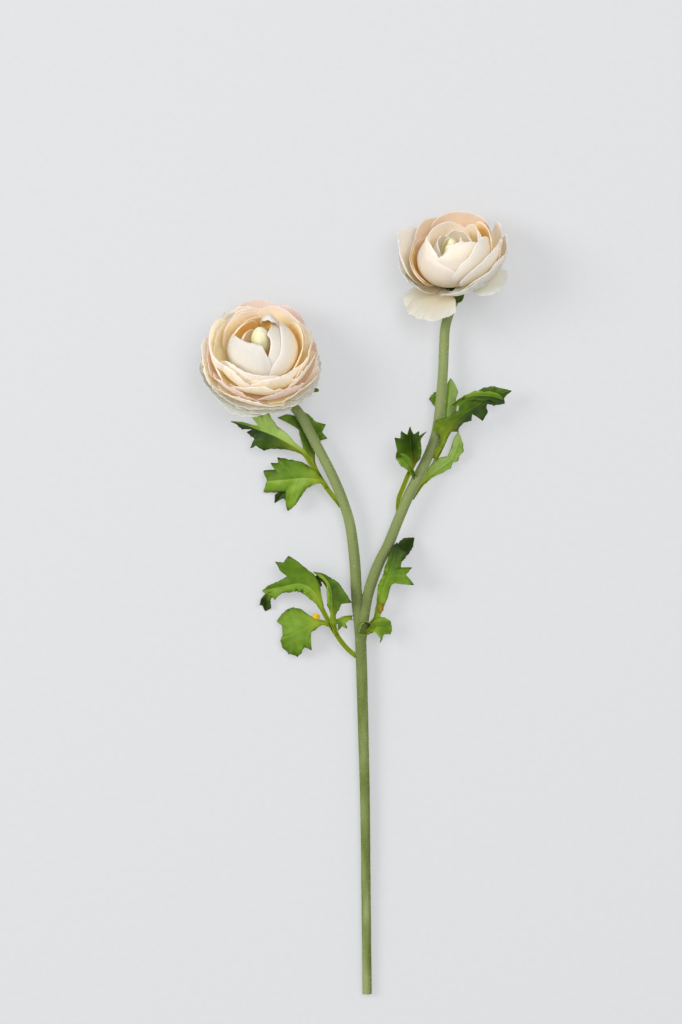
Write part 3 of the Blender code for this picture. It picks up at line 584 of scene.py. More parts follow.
RIGHT_CUP = [
    ("cup_petal_front_left", "cup_petal_1", 6, ((22, 7), (33, 24), (13, 37)), [(156, .55), (162, .74), (172, .87),
     (184, .935), (200, .955), (218, .93), (234, .89), (250, .85), (266, .79), (280, .72), (290, .55)], SOFT_SILK,
     drape(41.1, .6, .006, lap=-.8, thick=.35, **LEAN)),
    ("cup_petal_front", "cup_petal_2", 5.8, ((22, 6.8), (32.5, 24), (11, 37)), [(230, .64), (240, .8), (254, .88),
     (270, .905), (286, .915), (300, .89), (310, .84), (319, .77), (330, .775), (341, .78), (350, .73), (357, .6)],
     SOFT_SILK, drape(42.1, .5, .01, lap=.2, thick=.35, tuck=(0, -4), **LEAN)),
    ("cup_petal_right", "cup_petal_3", 6.7, ((21.5, 7.5), (31.5, 25), (18.5, 36)), [(-82, .6), (-68, .8), (-52, .88),
     (-38, .96), (-20, 1), (-4, 1), (10, .95), (20, .84), (28, .68)], SNOW_SILK,
     drape(43.1, .5, .006, lap=.2, thick=.35, **LEAN)),
    ("lower_front_petal", "", 3.2, ((19, 4), (28, 6.5), (31, 14.5)), (301, 78, .28), PALE_SILK,
     drape(44.1, 1, .03, .8)),
    ("cup_petal_left", "cup_petal_4", 5.6, ((22, 6.4), (33.2, 18.4), (27.8, 30.6)), [(138, .74), (146, .9),
     (158, .99), (172, 1), (188, .95), (203, .88), (218, .78), (232, .6)], CREAM_SILK,
     drape(45.1, .6, .012, lap=.4, **LEAN)),
    # painted shade: a golden-orange sheet just inside the left cup petal, for the shade in the gap behind it
    ("cup_petal_left_lining", "", 5.9, ((20.5, 6.9), (31.6, 18.4), (26.8, 30)), [(134, .74), (142, .9), (158, .96),
     (172, .96), (188, .92), (203, .85), (218, .75), (232, .6)], FOLD_SHADE_SILK, drape(45.1, .6, .012, lap=.4, **LEAN)),
    ("cup_petal_back", "cup_petal_5", 6.2, ((21, 7), (31, 22), (25, 40.5)), [(30, .7), (38, .86), (52, .95), (74, 1),
     (96, 1), (116, .98), (130, .9), (138, .74)], TAN_SILK, drape(46.1, .8, .016, lap=.4, **LEAN)),
    ("cup_petal_back_left", "", 5.9, ((21.5, 6.6), (31, 20), (28, 38.5)), [(104, .72), (112, .9), (126, .99),
     (144, 1), (158, .93), (168, .8)], TAN_SILK, drape(47.1, .8, .02, lap=.4, **LEAN)),
    ("cup_petal_back_right", "", 5.9, ((21, 6.6), (30, 21), (22.5, 37.5)), [(-8, .7), (2, .86), (16, .96), (34, 1),
     (52, .99), (66, .88), (74, .74)], FOLD_SHADE_SILK, drape(48.1, .8, .02, lap=.4, **LEAN)),
]
RIGHT_WHORLS = [
    ("inner_petal", 4, 8.9, ((17, 10.2), (25, 24), (15.5, 39)), 104, 118, .2, CREAM_SILK, "inner_petal",
     drape(51, .6, .01, lap=1.4, **LEAN)),
    ("heart_petal", 3, 11.2, ((13, 13.5), (18.5, 25), (8.5, 37)), 128, 60, .2, SNOW_SILK, "heart_petal",
     drape(52, .8, .02, lap=1.4, **LEAN)),
    ("heart_petal_small", 3, 12.4, ((7.5, 15), (10.5, 24), (4.5, 34.5)), 120, 10, .24, HEART_SILK, "",
     drape(53, .6, .02, lap=1, **LEAN)),
]
# the thin group at the cup's right, and the loose petals
RIGHT_LOOSE = [
    ("cup_petal_right_outer", "", 6, ((21.5, 7), (34, 21), (29, 32)), [(-72, .6), (-60, .8), (-42, .93), (-20, 1),
     (0, .98), (14, .86), (22, .7)], SNOW_SILK, drape(49.1, .8, .02, lap=.4, **LEAN)),
    ("cup_petal_right_low", "", 5.2, ((21.5, 6), (34, 15), (32.5, 25)), [(-66, .6), (-56, .8), (-40, .93), (-22, 1),
     (-4, .98), (8, .86), (16, .7)], SNOW_SILK, drape(49.6, .8, .03, lap=.4, **LEAN)),
    ("side_petal_low", "", 3.8, ((20, 4.6), (33, 11), (33.5, 27)), (192, 54, .24), PALE_SILK,
     drape(60, 1.2, .05, 1.2)),
    ("upright_petal", "upright_petal", 4.1, ((20, 4.6), (33, 12), (32.5, 41)), (177, 84, .18), SNOW_SILK,
     drape(61, 1.2, .04, 1.2)),
    ("drooping_petal", "drooping_petal", 1.9, ((18, 5.5), (29.5, 4.5), (38, -6)), (238, 88, .2), SHADED_PALE_SILK,
     drape(62, 2, .09, 2.6)),
    ("lower_left_petal", "", 3.4, ((19, 4.6), (29.5, 7.5), (30.5, 17)), (214, 66, .3), SHADED_PALE_SILK,
     drape(63, 1.2, .03, 1)),
    ("lower_right_petal_back", "", 4, ((20, 4.4), (32, 9), (35, 22)), (330, 66, .28), PALE_SILK,
     drape(64.5, 1.2, .05, 1.2)),
    ("lower_right_petal", "lower_right_petal", 3.4, ((20, 3.8), (31, 5.6), (35.6, 5.6)), [(-48, .6), (-43, .86),
     (-36, 1.02), (-28, 1.06), (-16, 1), (-4, .97), (8, .94), (16, .84), (22, .66)], PALE_SILK,
     drape(64, 1, .05, 1.2, lap=.6)),
    ("upper_right_petal", "upper_right_petal", 1.9, ((24, 3), (38, 13), (37.5, 31)), (16, 40, .3), SNOW_SILK,
     drape(65, 1.4, .05, 1.6)),
    ("upper_right_petal_inner", "", 3, ((23, 4), (34, 14), (34, 31)), (6, 36, .3), PEACH_SILK,
     drape(66, 1.4, .04, 1.4)),
    ("upper_right_petal_back", "", 2.6, ((23, 3.6), (36, 14), (36, 34)), (36, 38, .3), PEACH_SILK,
     drape(67, 1.4, .05, 1.6)),
    ("back_petal", "back_petal", 4.1, ((20, 4.8), (30, 12), (30.5, 32)), (98, 84, .26), PALE_SILK,
     drape(68, 1.2, .04, 1.2)),
]


def left_bloom():
    single_petals(LEFT, LEFT_CUP)
    hood(LEFT, "cup_hood", 1.0, 114, WHITE_SILK)
    # painted shade: a smaller shell of golden-orange silk inside the hood, standing for the shade beneath its curl
    hood(LEFT, "cup_hood_shade_sheet", 0.92, 104, FOLD_SHADE_SILK)
    single_petals(LEFT, LEFT_LAYERS)
    whorls(LEFT, LEFT_WHORLS)
    single_petals(LEFT, LEFT_EXTRAS)


def right_bloom():
    single_petals(RIGHT, RIGHT_CUP)
    whorls(RIGHT, RIGHT_WHORLS)
    single_petals(RIGHT, RIGHT_LOOSE)


def calyxes():
    for bloom, first, droop in ((LEFT, 20.0, -2.0), (RIGHT, 285.0, -5.0)):
        cup = add(bpy.ops.mesh.primitive_cone_add, f"{bloom.prefix}_calyx_cup", vertices=40, radius1=3.2,
                  radius2=9.0, depth=2.4)
        bevel = cup.modifiers.new("soft_rim", "BEVEL")
        bevel.width = 0.5
        bevel.segments = 3
        bpy.ops.object.modifier_apply(modifier=bevel.name)
        for vertex in cup.data.vertices:
            turn = math.atan2(vertex.co.y, vertex.co.x)
            spread = 1 + 0.05 * math.cos(5 * (turn - math.radians(first)))
            vertex.co = bloom.spot(vertex.co.x * spread, vertex.co.y * spread, vertex.co.z - 0.4)
        bpy.ops.object.shade_smooth_by_angle(angle=math.radians(60))
        store = cup.data.attributes.new("tone", "FLOAT", "POINT")
        for item in store.data:
            item.value = 0.45
        cup.data.materials.append(LEAF_CLOTH)
        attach(cup, "root")
        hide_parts(f"{bloom.prefix}_calyx")
        for index in range(5):
            petal(bloom, f"sepal_{index + 1}", 0.5, ((11.5, 0.6), (14.5, -0.4), (13.5, droop)),
                  round_edge(first + 72 * index, 44, 0.5), LEAF_CLOTH, seed=80 + index, wave=0.5, lap=0.3,
                  claw=0.8, columns=20, rows=14, green=(0.22, 0.4))
    petal(LEFT, "sepal_long", 0.9, ((16, 0.4), (30, 0.6), (40.2, 3.2)), round_edge(-22, 9, 0.25), LEAF_CLOTH,
          seed=90, wave=0.3, fray=0.02, lap=0.1, claw=0.6, columns=12, rows=30, green=(0.45, 0.4))


def heart_buds():
    """The closed heart of each bloom: a tight bud with its folds wound round it."""
    for bloom, middle, size in ((LEFT, (-0.8, 4.6, 29.6), (6.2, 8.4, 10.0)),
                                (RIGHT, (1.6, 1.2, 26.5), (3.8, 3.8, 7.6))):
        ball = add(bpy.ops.mesh.primitive_uv_sphere_add, f"{bloom.prefix}_heart_bud", segments=48, ring_count=32,
                   radius=1.0)
        for vertex in ball.data.vertices:
            way = vertex.co.copy()
            turn = math.atan2(way.y, way.x)
            fold = abs(math.sin(1.5 * turn + 2.6 * way.z)) ** 0.35
            swell = 0.94 + 0.06 * fold + 0.03 * ripple(*(way * 2.0))
            x, y, h = (way[i] * size[i] * swell for i in range(3))
            vertex.co = bloom.spot(middle[0] + x, middle[1] + y, middle[2] + h)
        bpy.ops.object.shade_smooth()
        ball.data.materials.append(BUD_SILK)
        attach(ball, "root")
        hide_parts(f"{bloom.prefix}_flower_centre")


# ---- Stem ----

MAIN_ROUTE = [
    (0, 0, 3), (-0.6, 60, 4), (-1.3, 125, 5), (-2.6, 178, 5.8), (-3.9, 223, 6.4), (-5.2, 243, 6.8), (-6.6, 256, 7.1),
    (-8.1, 281.5, 7.6), (-11, 304, 8.2), (-15.6, 319.5, 8.7), (-22, 335, 9.4), (-29, 349, 10), (-36.4, 363, 10.2),
    (-43.5, 376, 9.4), (-51.5, 384.5, 8), (-60, 389.5, 7.2),
]
RIGHT_ROUTE = [
    (-4, 224, 6.5), (-2.6, 240, 7.6), (-0.2, 256, 8.6), (3.3, 268.5, 9.2), (8.5, 281.5, 9.8), (13.7, 291.5, 10.2),
    (19.5, 306, 10.8), (25.4, 320, 11.4), (31.9, 333.5, 12), (38.4, 346.5, 12.4), (43.6, 359.5, 12.6),
    (46.2, 372.5, 12.6), (47.6, 386, 12.2), (49, 402, 11.2), (49.7, 418, 10), (50.6, 432, 9), (54, 444, 8.4),
]
NECK_STRAIGHT = 6.0  # the last stretch, straight into a bloom
RING_STEP = 1.6
STEM_SIDES = 28
STEM_REACH = 3.0
MAIN_FIBRES, BRANCH_FIBRES = 7600, 4400
FIBRE_RADIUS = 0.075
FIBRE_ROOT = 0.12  # how deep a fibre is set into the stem


def neck(bloom):
    return bloom.seat - bloom.axis * NECK_STRAIGHT


# t runs from 0 at a stem's lower end to 1 at its bloom
def main_radius(t):
    return 3.0 + 0.6 * bell(t - 0.55, 0.22) + 0.1 * t


def branch_radius(t):
    return 3.6 - 0.5 * t - 0.7 * max(0.0, 1 - t / 0.1)


def stem_tube(name, points, radius_at):
    """A round stem along its route, with the faint ridges and swellings of a flocked wire stem."""
    route = Route(points)
    rings = round(route.length / RING_STEP)
    tube = add(bpy.ops.mesh.primitive_cylinder_add, name, vertices=STEM_SIDES, radius=1.0, depth=1.0,
               end_fill_type="NGON")
    bpy.ops.object.mode_set(mode="EDIT")
    bpy.ops.mesh.select_all(action="SELECT")
    for number in range(1, rings):
        bpy.ops.mesh.bisect(plane_co=(0, 0, number / rings - 0.5), plane_no=(0, 0, 1))
        bpy.ops.mesh.select_all(action="SELECT")
    bpy.ops.object.mode_set(mode="OBJECT")
    for vertex in tube.data.vertices:
        share = vertex.co.z + 0.5
        s = share * route.length
        _, side, up = route.axes(s, STEM_REACH)
        turn = math.atan2(vertex.co.y, vertex.co.x)
        radius = radius_at(share)
        radius *= 1 + 0.035 * ripple(s * 0.05, math.cos(turn), math.sin(turn))
        radius += 0.07 * ripple(s * 0.4, 2.5 * math.cos(turn), 2.5 * math.sin(turn) + 7)
        radius += 0.05 * math.cos(5 * turn + 0.02 * s)
        vertex.co = spot(route.point(s) + (side * math.cos(turn) + up * math.sin(turn)) * radius)
    return tube


def forked_stem():
    stem = stem_tube("flocked_stem", MAIN_ROUTE + [neck(LEFT), LEFT.seat], main_radius)
    branch = stem_tube("right_branch", RIGHT_ROUTE + [neck(RIGHT), RIGHT.seat], branch_radius)
    bpy.ops.object.select_all(action="DESELECT")
    bpy.context.view_layer.objects.active = stem
    stem.select_set(True)
    union = stem.modifiers.new("join", "BOOLEAN")
    union.operation = "UNION"
    union.solver = "EXACT"
    union.object = branch
    bpy.ops.object.modifier_apply(modifier=union.name)
    bpy.data.objects.remove(branch)
    bpy.ops.object.shade_smooth_by_angle(angle=math.radians(50))
    stem.data.materials.clear()
    stem.data.materials.append(STEM_FLOCK)
    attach(stem, "root")
    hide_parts("forked_stem")


def stem_fuzz():
    """The nap of the flock: thousands of short fibres that stand off the stem."""
    dice = random.Random(404)
    corners, faces = [], []
    for points, radius_at, count in ((MAIN_ROUTE + [neck(LEFT)], main_radius, MAIN_FIBRES),
                                     (RIGHT_ROUTE + [neck(RIGHT)], branch_radius, BRANCH_FIBRES)):
        route = Route(points)
        for _ in range(count):
            share = dice.random()
            s = share * route.length
            ahead, side, up = route.axes(s, STEM_REACH)
            turn = dice.uniform(0, math.tau)
            out = side * math.cos(turn) + up * math.sin(turn)
            around = ahead.cross(out)
            root = route.point(s) + out * (radius_at(share) - FIBRE_ROOT)
            tip = root + out * dice.uniform(0.45, 0.85) + ahead * dice.uniform(-0.3, 0.5)
            tip += around * dice.uniform(-0.3, 0.3)
            start = len(corners)
            for k in range(3):
                angle = math.tau * k / 3
                corners.append(spot(root + (ahead * math.cos(angle) + around * math.sin(angle)) * FIBRE_RADIUS))
            corners.append(spot(tip))
            faces += [(start, start + 1, start + 3), (start + 1, start + 2, start + 3),
                      (start + 2, start, start + 3), (start + 2, start + 1, start)]
    mesh = bpy.data.meshes.new("stem_fuzz")
    mesh.from_pydata(corners, [], faces)
    mesh.materials.append(FUZZ)
    fuzz = bpy.data.objects.new("stem_fuzz", mesh)
    bpy.context.collection.objects.link(fuzz)
    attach(fuzz, "root")


# ---- Leaves ----
# look: the tone of the left and right half, painted light and shade with one half lit and the other shaded, what the
# rim and the tip add to it, how steeply each half folds up from the midrib, and how much the lobes curl. cup: how
# hollow the blade is. route: stalk and midrib as one line.
# blade_at: the point of the route where the blade starts. rungs: how far along the midrib each starts, then its
# left and its right end as (along the midrib, out from it). tip: the blade's end, measured in the same way.
# youth: how yellow the stalk and the blade's base are.
Leaf = namedtuple("Leaf", "look cup blade_at tip route rungs youth", defaults=[1.0])
LEAVES = {
    "lower_left_leaf": [Leaf(((0.74, 0.56), 0, -0.1, (0.1, 0.25), 1.6), 0.012, 4, (50.5, 0),
        [(-5, 217.7, 5.8), (-12.3, 223.6, 6.4), (-18.2, 230.8, 7.6), (-23.4, 239.2, 9.2), (-29.2, 250.2, 11.4),
         (-32.5, 258.1, 13), (-37.7, 263.9, 14), (-44.9, 266.2, 14), (-53.3, 264.6, 12), (-61.8, 262.9, 8.6),
         (-70.2, 261, 4.4)],
        [(4, 8, -4.5, 9, 3.5), (9, 13, -5, 15.5, 7.5), (14, 18.5, -5, 22.5, 11.5), (17, 21, -5, 26.5, 18.5),
         (19.5, 23, -5, 29, 15), (22, 25, -4.8, 34, 17), (24.5, 27, -4.5, 33, 11.5), (27, 29.5, -4.3, 29, 6.5),
         (33, 36, -4, 36.5, 3.8), (39, 42, -7.5, 42, 3), (45, 46.5, -4, 46, 2)]),
      Leaf(((0.66, 0.74), -0.1, -0.15, (0.1, -0.1), 1.2), -0.008, 1, (30.5, -1),
        [(-23.4, 239.2, 9.2), (-29.2, 241.2, 10.6), (-35.8, 239.2, 11.8), (-42.2, 236.3, 11.4), (-48.8, 233.3, 9.4),
         (-55.2, 230.1, 6), (-61, 227.2, 2.6)],
        [(2, 4.5, -3, 4, 4.5), (4, 9.5, -4, 6, 7), (6, 13.5, -8, 9.5, 12.5), (8, 14, -14.5, 14, 15.5),
         (11, 17.5, -11, 19.5, 16), (14, 21, -13.5, 24, 14.5), (17, 26, -14.5, 28.5, 12), (20, 28, -11, 27, 8),
         (24, 31.5, -10.5, 27, 3), (27, 32, -5, 29, 1.5)]),
      Leaf(((0.7, 0.3), 0.15, 0, (0.3, 0.5), 1.4), 0.03, 1, (41.5, -0.5),
        [(-19.4, 232.8, 8.2), (-21.4, 238.6, 9.6), (-22.4, 245.7, 11.8), (-22.8, 252.9, 13.8), (-23.1, 260, 15.2),
         (-24.7, 266.5, 15.4), (-28.6, 271.4, 13.6), (-34.5, 274.3, 10)],
        [(4, 8, -1.2, 6.5, 1.8), (8, 12, -2, 10, 3), (11, 15.5, -3, 12.5, 4.5), (13.5, 18, -3, 17, 6.5),
         (15.5, 20, -3, 18, 12.5), (18, 22.5, -3, 23.5, 8.5), (22, 26, -2.2, 27.5, 6), (27, 30, -1.6, 30.5, 3),
         (33, 36.5, -2, 35, 1.5)])],
    "fork_upright_leaf": [Leaf(((0.74, 0.66), 0, -0.8, (0.1, 0.1), 1.8), 0.02, 1, (52.5, 0),
        [(-0.2, 237.4, 7), (5.6, 243.8, 7.8), (7.6, 250.9, 9.4), (9.4, 258.7, 11.6), (11.7, 266.5, 14),
         (14.6, 274.3, 15.8), (17, 282.8, 16.4), (19.4, 293.8, 14.2)],
        [(5, 8, -1.8, 8, 3), (12, 16, -3, 15, 4), (20, 22, -4, 24.5, 4), (23.5, 25, -3.5, 28.5, 7),
         (26, 28, -3.2, 31, 17.5), (29, 31, -3.6, 34.5, 10.5), (32, 34, -4, 39, 13), (35, 37.5, -3.8, 37.5, 6),
         (39.5, 42, -3.5, 43, 5.5), (43, 45, -3, 47.5, 8), (47, 48.5, -2.5, 49, 3)])],
    "fork_curled_leaf": [Leaf(((0.6, 0.66), 0.1, 0, (0.5, 0.4), 1.6), 0.03, 1, (16, 0),
        [(-1.4, 234.4, 9.6), (2.4, 237, 12.2), (6.8, 238.4, 12.8), (11.4, 237.4, 10.8), (15, 233.4, 7.2)],
        [(2, 3, -4.5, 3, 4), (5, 6, -6.5, 6, 7.5), (7.5, 9, -6, 12, 9), (10, 12.5, -4, 11.5, 3.5)])],
    "fork_small_leaf": [Leaf(((0.66, 0.74), 0.1, -0.2, (0.2, 0.2), 1.6), 0.03, 1, (11, 0),
        [(-9.5, 244.2, 7.6), (-13, 244, 9), (-16.5, 241.5, 9), (-18.5, 236.5, 6)],
        [(2, 3, -2.5, 3, 2.5), (4, 7, -5, 7, 4.5), (6.5, 7, -1.6, 7, 1.6)])],
    "left_branch_leaf": [Leaf(((0.2, 0.98), 0.12, -0.7, (-0.3, 0.4), 1.4), 0.03, 4, (53, 0),
        [(-16.9, 316.4, 8.6), (-26, 328, 8.6), (-31.9, 337.4, 9.2), (-37.1, 345.2, 10.4), (-41.3, 351, 11.8),
         (-48.1, 355.2, 13.6), (-55.2, 359.1, 14.6), (-63.1, 362.7, 14.2), (-70.9, 365.9, 12.6), (-79.3, 368.9, 9.8),
         (-89.7, 371.8, 5.4)],
        [(5, 8.5, -3.5, 8, 2.5), (11, 15, -5.5, 15, 5), (16, 21, -8.5, 23, 7), (19, 25, -11, 27, 10.5),
         (22, 30.5, -10, 31, 14), (24.5, 34.5, -13, 33.5, 10.5), (27, 34, -8, 38.5, 12.5), (29, 34, -6, 41, 7.5),
         (31, 36.5, -5.5, 36.5, 5), (33, 41, -4, 33.5, 2.5), (37, 36.5, -0.8, 38, 1.6), (42, 44.5, -3, 44.5, 1.5),
         (48, 49, -0.8, 49, 0.8)]),
      Leaf(((0.8, 0.62), -0.2, -0.1, (-0.1, 0.05), 1.3), -0.004, 1, (38, 1),
        [(-26, 328, 8.6), (-29, 332.4, 10.2), (-35.8, 334.1, 12.4), (-43.6, 334.1, 13.8), (-51.4, 333.4, 13.2),
         (-59.8, 332.8, 10.2), (-68.2, 332.2, 5.4)],
        [(3, 6.5, -5, 4.5, 4), (6, 10.5, -6.5, 9.5, 8.5), (9, 13.5, -10, 14, 11), (12, 19.5, -16, 19, 12.5),
         (14.5, 23, -18.5, 24.5, 13.5), (17, 27, -20, 29.5, 15), (20, 26.5, -12, 29, 11.5),
         (23, 25.5, -7, 34.5, 11.5), (28, 35.5, -7.5, 32, 7), (34, 42.5, -6.5, 39.5, 7)]),
      Leaf(((0.5, 0.36), 0.3, 0, (0.2, 0.1), 1), 0.006, 1, (36, -0.5),
        [(-31.9, 337.4, 9.2), (-34.9, 343.9, 6.4), (-37.1, 351, 4), (-39, 358.2, 3), (-40.3, 365.3, 2.6),
         (-41.6, 372.4, 2.4), (-42.9, 380.5, 2)],
        [(5, 9, -3, 7, 4), (11, 16.5, -3.5, 14, 7.5), (15, 21, -3.8, 14.5, 13.5), (18, 25, -4, 20, 11),
         (20.5, 29, -8.5, 24, 14), (23.5, 33.5, -16, 27.5, 7.5), (27, 35, -10, 31, 5.5), (30, 33.5, -5.5, 33, 4)])],
    "right_branch_cupped_leaf": [Leaf(((0.3, 0.16), 0.2, -0.15, (0.7, 0.8), 1.6), 0.05, 4, (26, 0),
        [(20.4, 306.8, 10.2), (20.2, 319.8, 11), (23.1, 328.2, 12.6), (26.3, 336.1, 13.8), (28.9, 341.9, 14.6),
         (28.9, 347.8, 15.6), (28.3, 353.6, 16.6), (27.9, 359.4, 17.2), (27.6, 367.2, 16.4)],
        [(2.5, 4.5, -4.5, 4, 4.5), (5, 7, -8, 10, 6.5), (8, 10, -10.5, 14, 6.5), (11, 13, -9.5, 17.5, 6.5),
         (14, 18.5, -10.5, 21, 10), (16, 18.5, -6.5, 19.5, 5.5), (18, 23, -6, 22.5, 5.5), (20, 20.5, -2.2, 20.5, 2)])],
    "right_branch_hooked_leaf": [Leaf(((0.92, 0.78), 0.05, 0.1, (0.2, 0.1), 1.4), 0.015, 1, (43, -0.5),
        [(28.8, 321.4, 9.6), (35.8, 331.5, 7.2), (41.6, 336.7, 6.4), (48.1, 341.6, 6.2), (54, 346.4, 6.8),
         (57.5, 352.9, 7.6), (59.1, 359.4, 7.6), (59.5, 365.9, 6.4)],
        [(4, 4.5, -2.4, 6, 1.4), (8, 9.5, -4.6, 11, 2.4), (13, 15, -6.5, 16, 3.4), (18, 19.5, -5.5, 20.5, 4),
         (22, 24.5, -3, 23.5, 2), (25, 27, -3, 25.5, 4.5), (29, 31, -3.2, 28.5, 3.5), (32.5, 34.5, -3.5, 32, 5),
         (37, 38, -3.2, 36.5, 3)])],
    "right_branch_spreading_leaf": [Leaf(((0.36, 0.14), 0.1, 0.05, (0.3, -0.3), 2.2), 0.012, 1, (60.5, 0.5),
        [(42.2, 348, 13.2), (47.5, 355.6, 15.6), (50.7, 362.1, 17.8), (54, 367.9, 19.2), (59.1, 373.4, 20),
         (65.7, 378, 20), (73.5, 382.9, 18.8), (81.9, 387.4, 16.4), (89, 390, 13.4), (96.2, 391.9, 9.6)],
        [(4, 6, -3, 6, 1.6), (8, 8, -9, 12, 2), (11, 12.5, -10.5, 13.5, 6), (14, 15, -7.5, 17, 4.5),
         (19, 20, -4, 22, 4.5), (24, 24.5, -4, 28, 6), (27, 27, -7.5, 31, 2.5), (30, 30.5, -8.5, 34, 10),
         (34, 35.5, -6, 41, 7), (38, 39.5, -7, 42.5, 2.5), (43, 44, -8, 46.5, 5), (48, 49, -6.5, 56, 7),
         (52, 52.5, -4.5, 54, 3.5)])],
    "right_branch_back_leaf": [Leaf(((0.6, 0.95), 0, 0.1, (0.1, 0.1), 1.4), 0.006, 1, (46.5, 0),
        [(44, 346.8, 8), (47.6, 353.6, 6), (50.1, 362.7, 4), (51.4, 372.4, 3.4), (52.3, 382.2, 3.6), (53.3, 391.9, 4),
         (54.3, 400.4, 3.6)],
        [(8, 13, -3, 11, 2.5), (16, 20, -5, 18, 4), (22, 26.5, -7, 25, 6), (27, 32, -12.5, 30, 6),
         (31, 36.5, -9.5, 33.5, 5), (35, 37, -5, 38.5, 6), (41, 42, -2, 43, 3.5)])],
}
# painted shade: the curled-under lobes take dark tones for the shade beneath the blade above them
SHADED_UNDERSIDE = ((0.2, 0.12), 0.1, -0.2, (0.3, 0.2), 1.6)
# lobes that curl under a leaf and show past its edge
UNDER_LOBES = {
    "left_branch_under_lobe": Leaf(SHADED_UNDERSIDE, 0.03, 1, (15, 0.5),
        [(-46, 334, 9), (-50, 329.4, 7), (-54, 325, 5), (-57, 321.4, 3.4)],
        [(3, 4, -2.2, 4, 2.5), (6, 9, -4.2, 7.5, 3.2), (8.5, 10, -1.6, 11, 3.6)]),
    "lower_left_under_lobe": Leaf(SHADED_UNDERSIDE, 0.03, 1, (14.5, 0),
        [(-57, 262.6, 8.6), (-62, 259.8, 6.4), (-65, 256, 4.2), (-65.6, 251.6, 2.6)],
        [(3, 4, -2.5, 4, 3), (6, 8, -2.8, 9, 4.2), (9, 11, -3.6, 11, 2)]),
    "lower_left_back_lobe": Leaf(SHADED_UNDERSIDE, 0.03, 1, (15.5, 0),
        [(-24, 262, 12), (-27.6, 268.2, 11.4), (-31.2, 269.6, 9), (-33.6, 265.4, 6.4)],
        [(3, 4, -2.5, 4, 2.5), (7, 9, -4.2, 8, 3), (10, 12, -3, 11, 2.4)]),
    "upright_back_lobe": Leaf(SHADED_UNDERSIDE, 0.03, 1, (29, 0),
        [(10.5, 264, 9), (14, 274, 9.6), (18.6, 284, 9.6), (24.5, 290, 7.6)],
        [(4, 6, -3, 6, 3.5), (10, 12, -4, 12, 5.5), (17, 18, -5, 19, 4.5), (21, 23, -4.5, 24, 3.4)]),
}
# parts of a blade that roll back over its face
TURNED_LOBES = {
    "cupped_lip": Leaf(((0.72, 0.6), 0.1, -0.1, (0.1, 0.2), 1), 0.03, 1, (14.5, 0),
        [(31, 334.8, 14), (27.6, 340.4, 19.6), (23.4, 345.4, 24), (18.6, 350.6, 26.4)],
        [(2, 3, -2.6, 3, 3), (5, 6, -3.6, 6, 4), (8.5, 9.5, -3.2, 10, 4.2), (11, 13, -2.6, 12, 2.8)], 0.25),
    "spreading_fold": Leaf(((0.62, 0.16), 0.3, -0.2, (0.3, 0.1), 1.8), 0.03, 1, (27, 0),
        [(55.5, 380.8, 17), (62, 385.4, 21.8), (70, 387.4, 23.4), (79, 387, 21.8), (89, 384.6, 17.8)],
        [(3, 4, -1.8, 4, 2), (7, 8, -3.4, 8, 2.8), (12, 13, -2.2, 13, 3.6), (17, 18, -3.6, 18, 2.2),
         (22, 24, -2.2, 23, 2.8)], 0.25),
}
BLADE_THICKNESS = 0.32
STALK_WIDTH = 2.2
STALK_ARC = 3.1  # half of the sheet's width where it is rolled into the stalk
STALK_RADIUS = 1.45
STALK_SINK = 0.9  # how far the rolled sheet's middle lies below the route
LEAF_REACH = 2.0
LEAF_GAP = 0.35  # how far a leaf stays clear of the table
LEAF_COLUMNS = 40
ROWS_PER_RUNG = 8
STALK_ROW_STEP = 2.5
RUNG_SOFTNESS = 0.16  # 0 draws the blade's edge straight from rung to rung, 1 as a smooth curve


def leaf_rows(leaf):
    """The blade's rows as one vector each: start, left along, left out, right along, right out."""
    half = STALK_WIDTH / 2
    rows = [Vector((0.0, 0.0, -half, 0.0, half))]
    rows += [Vector(rung) for rung in leaf.rungs]
    along, out = leaf.tip
    rows.append(Vector((along, along, out - 0.15, along, out + 0.15)))
    return rows


def rolled(w, tight):
    """Across and up of a sheet rolled to a curve, w millimetres from its middle."""
    if tight < 0.01:
        return w, 0.0
    return math.sin(w * tight) / tight, (1 - math.cos(w * tight)) / tight


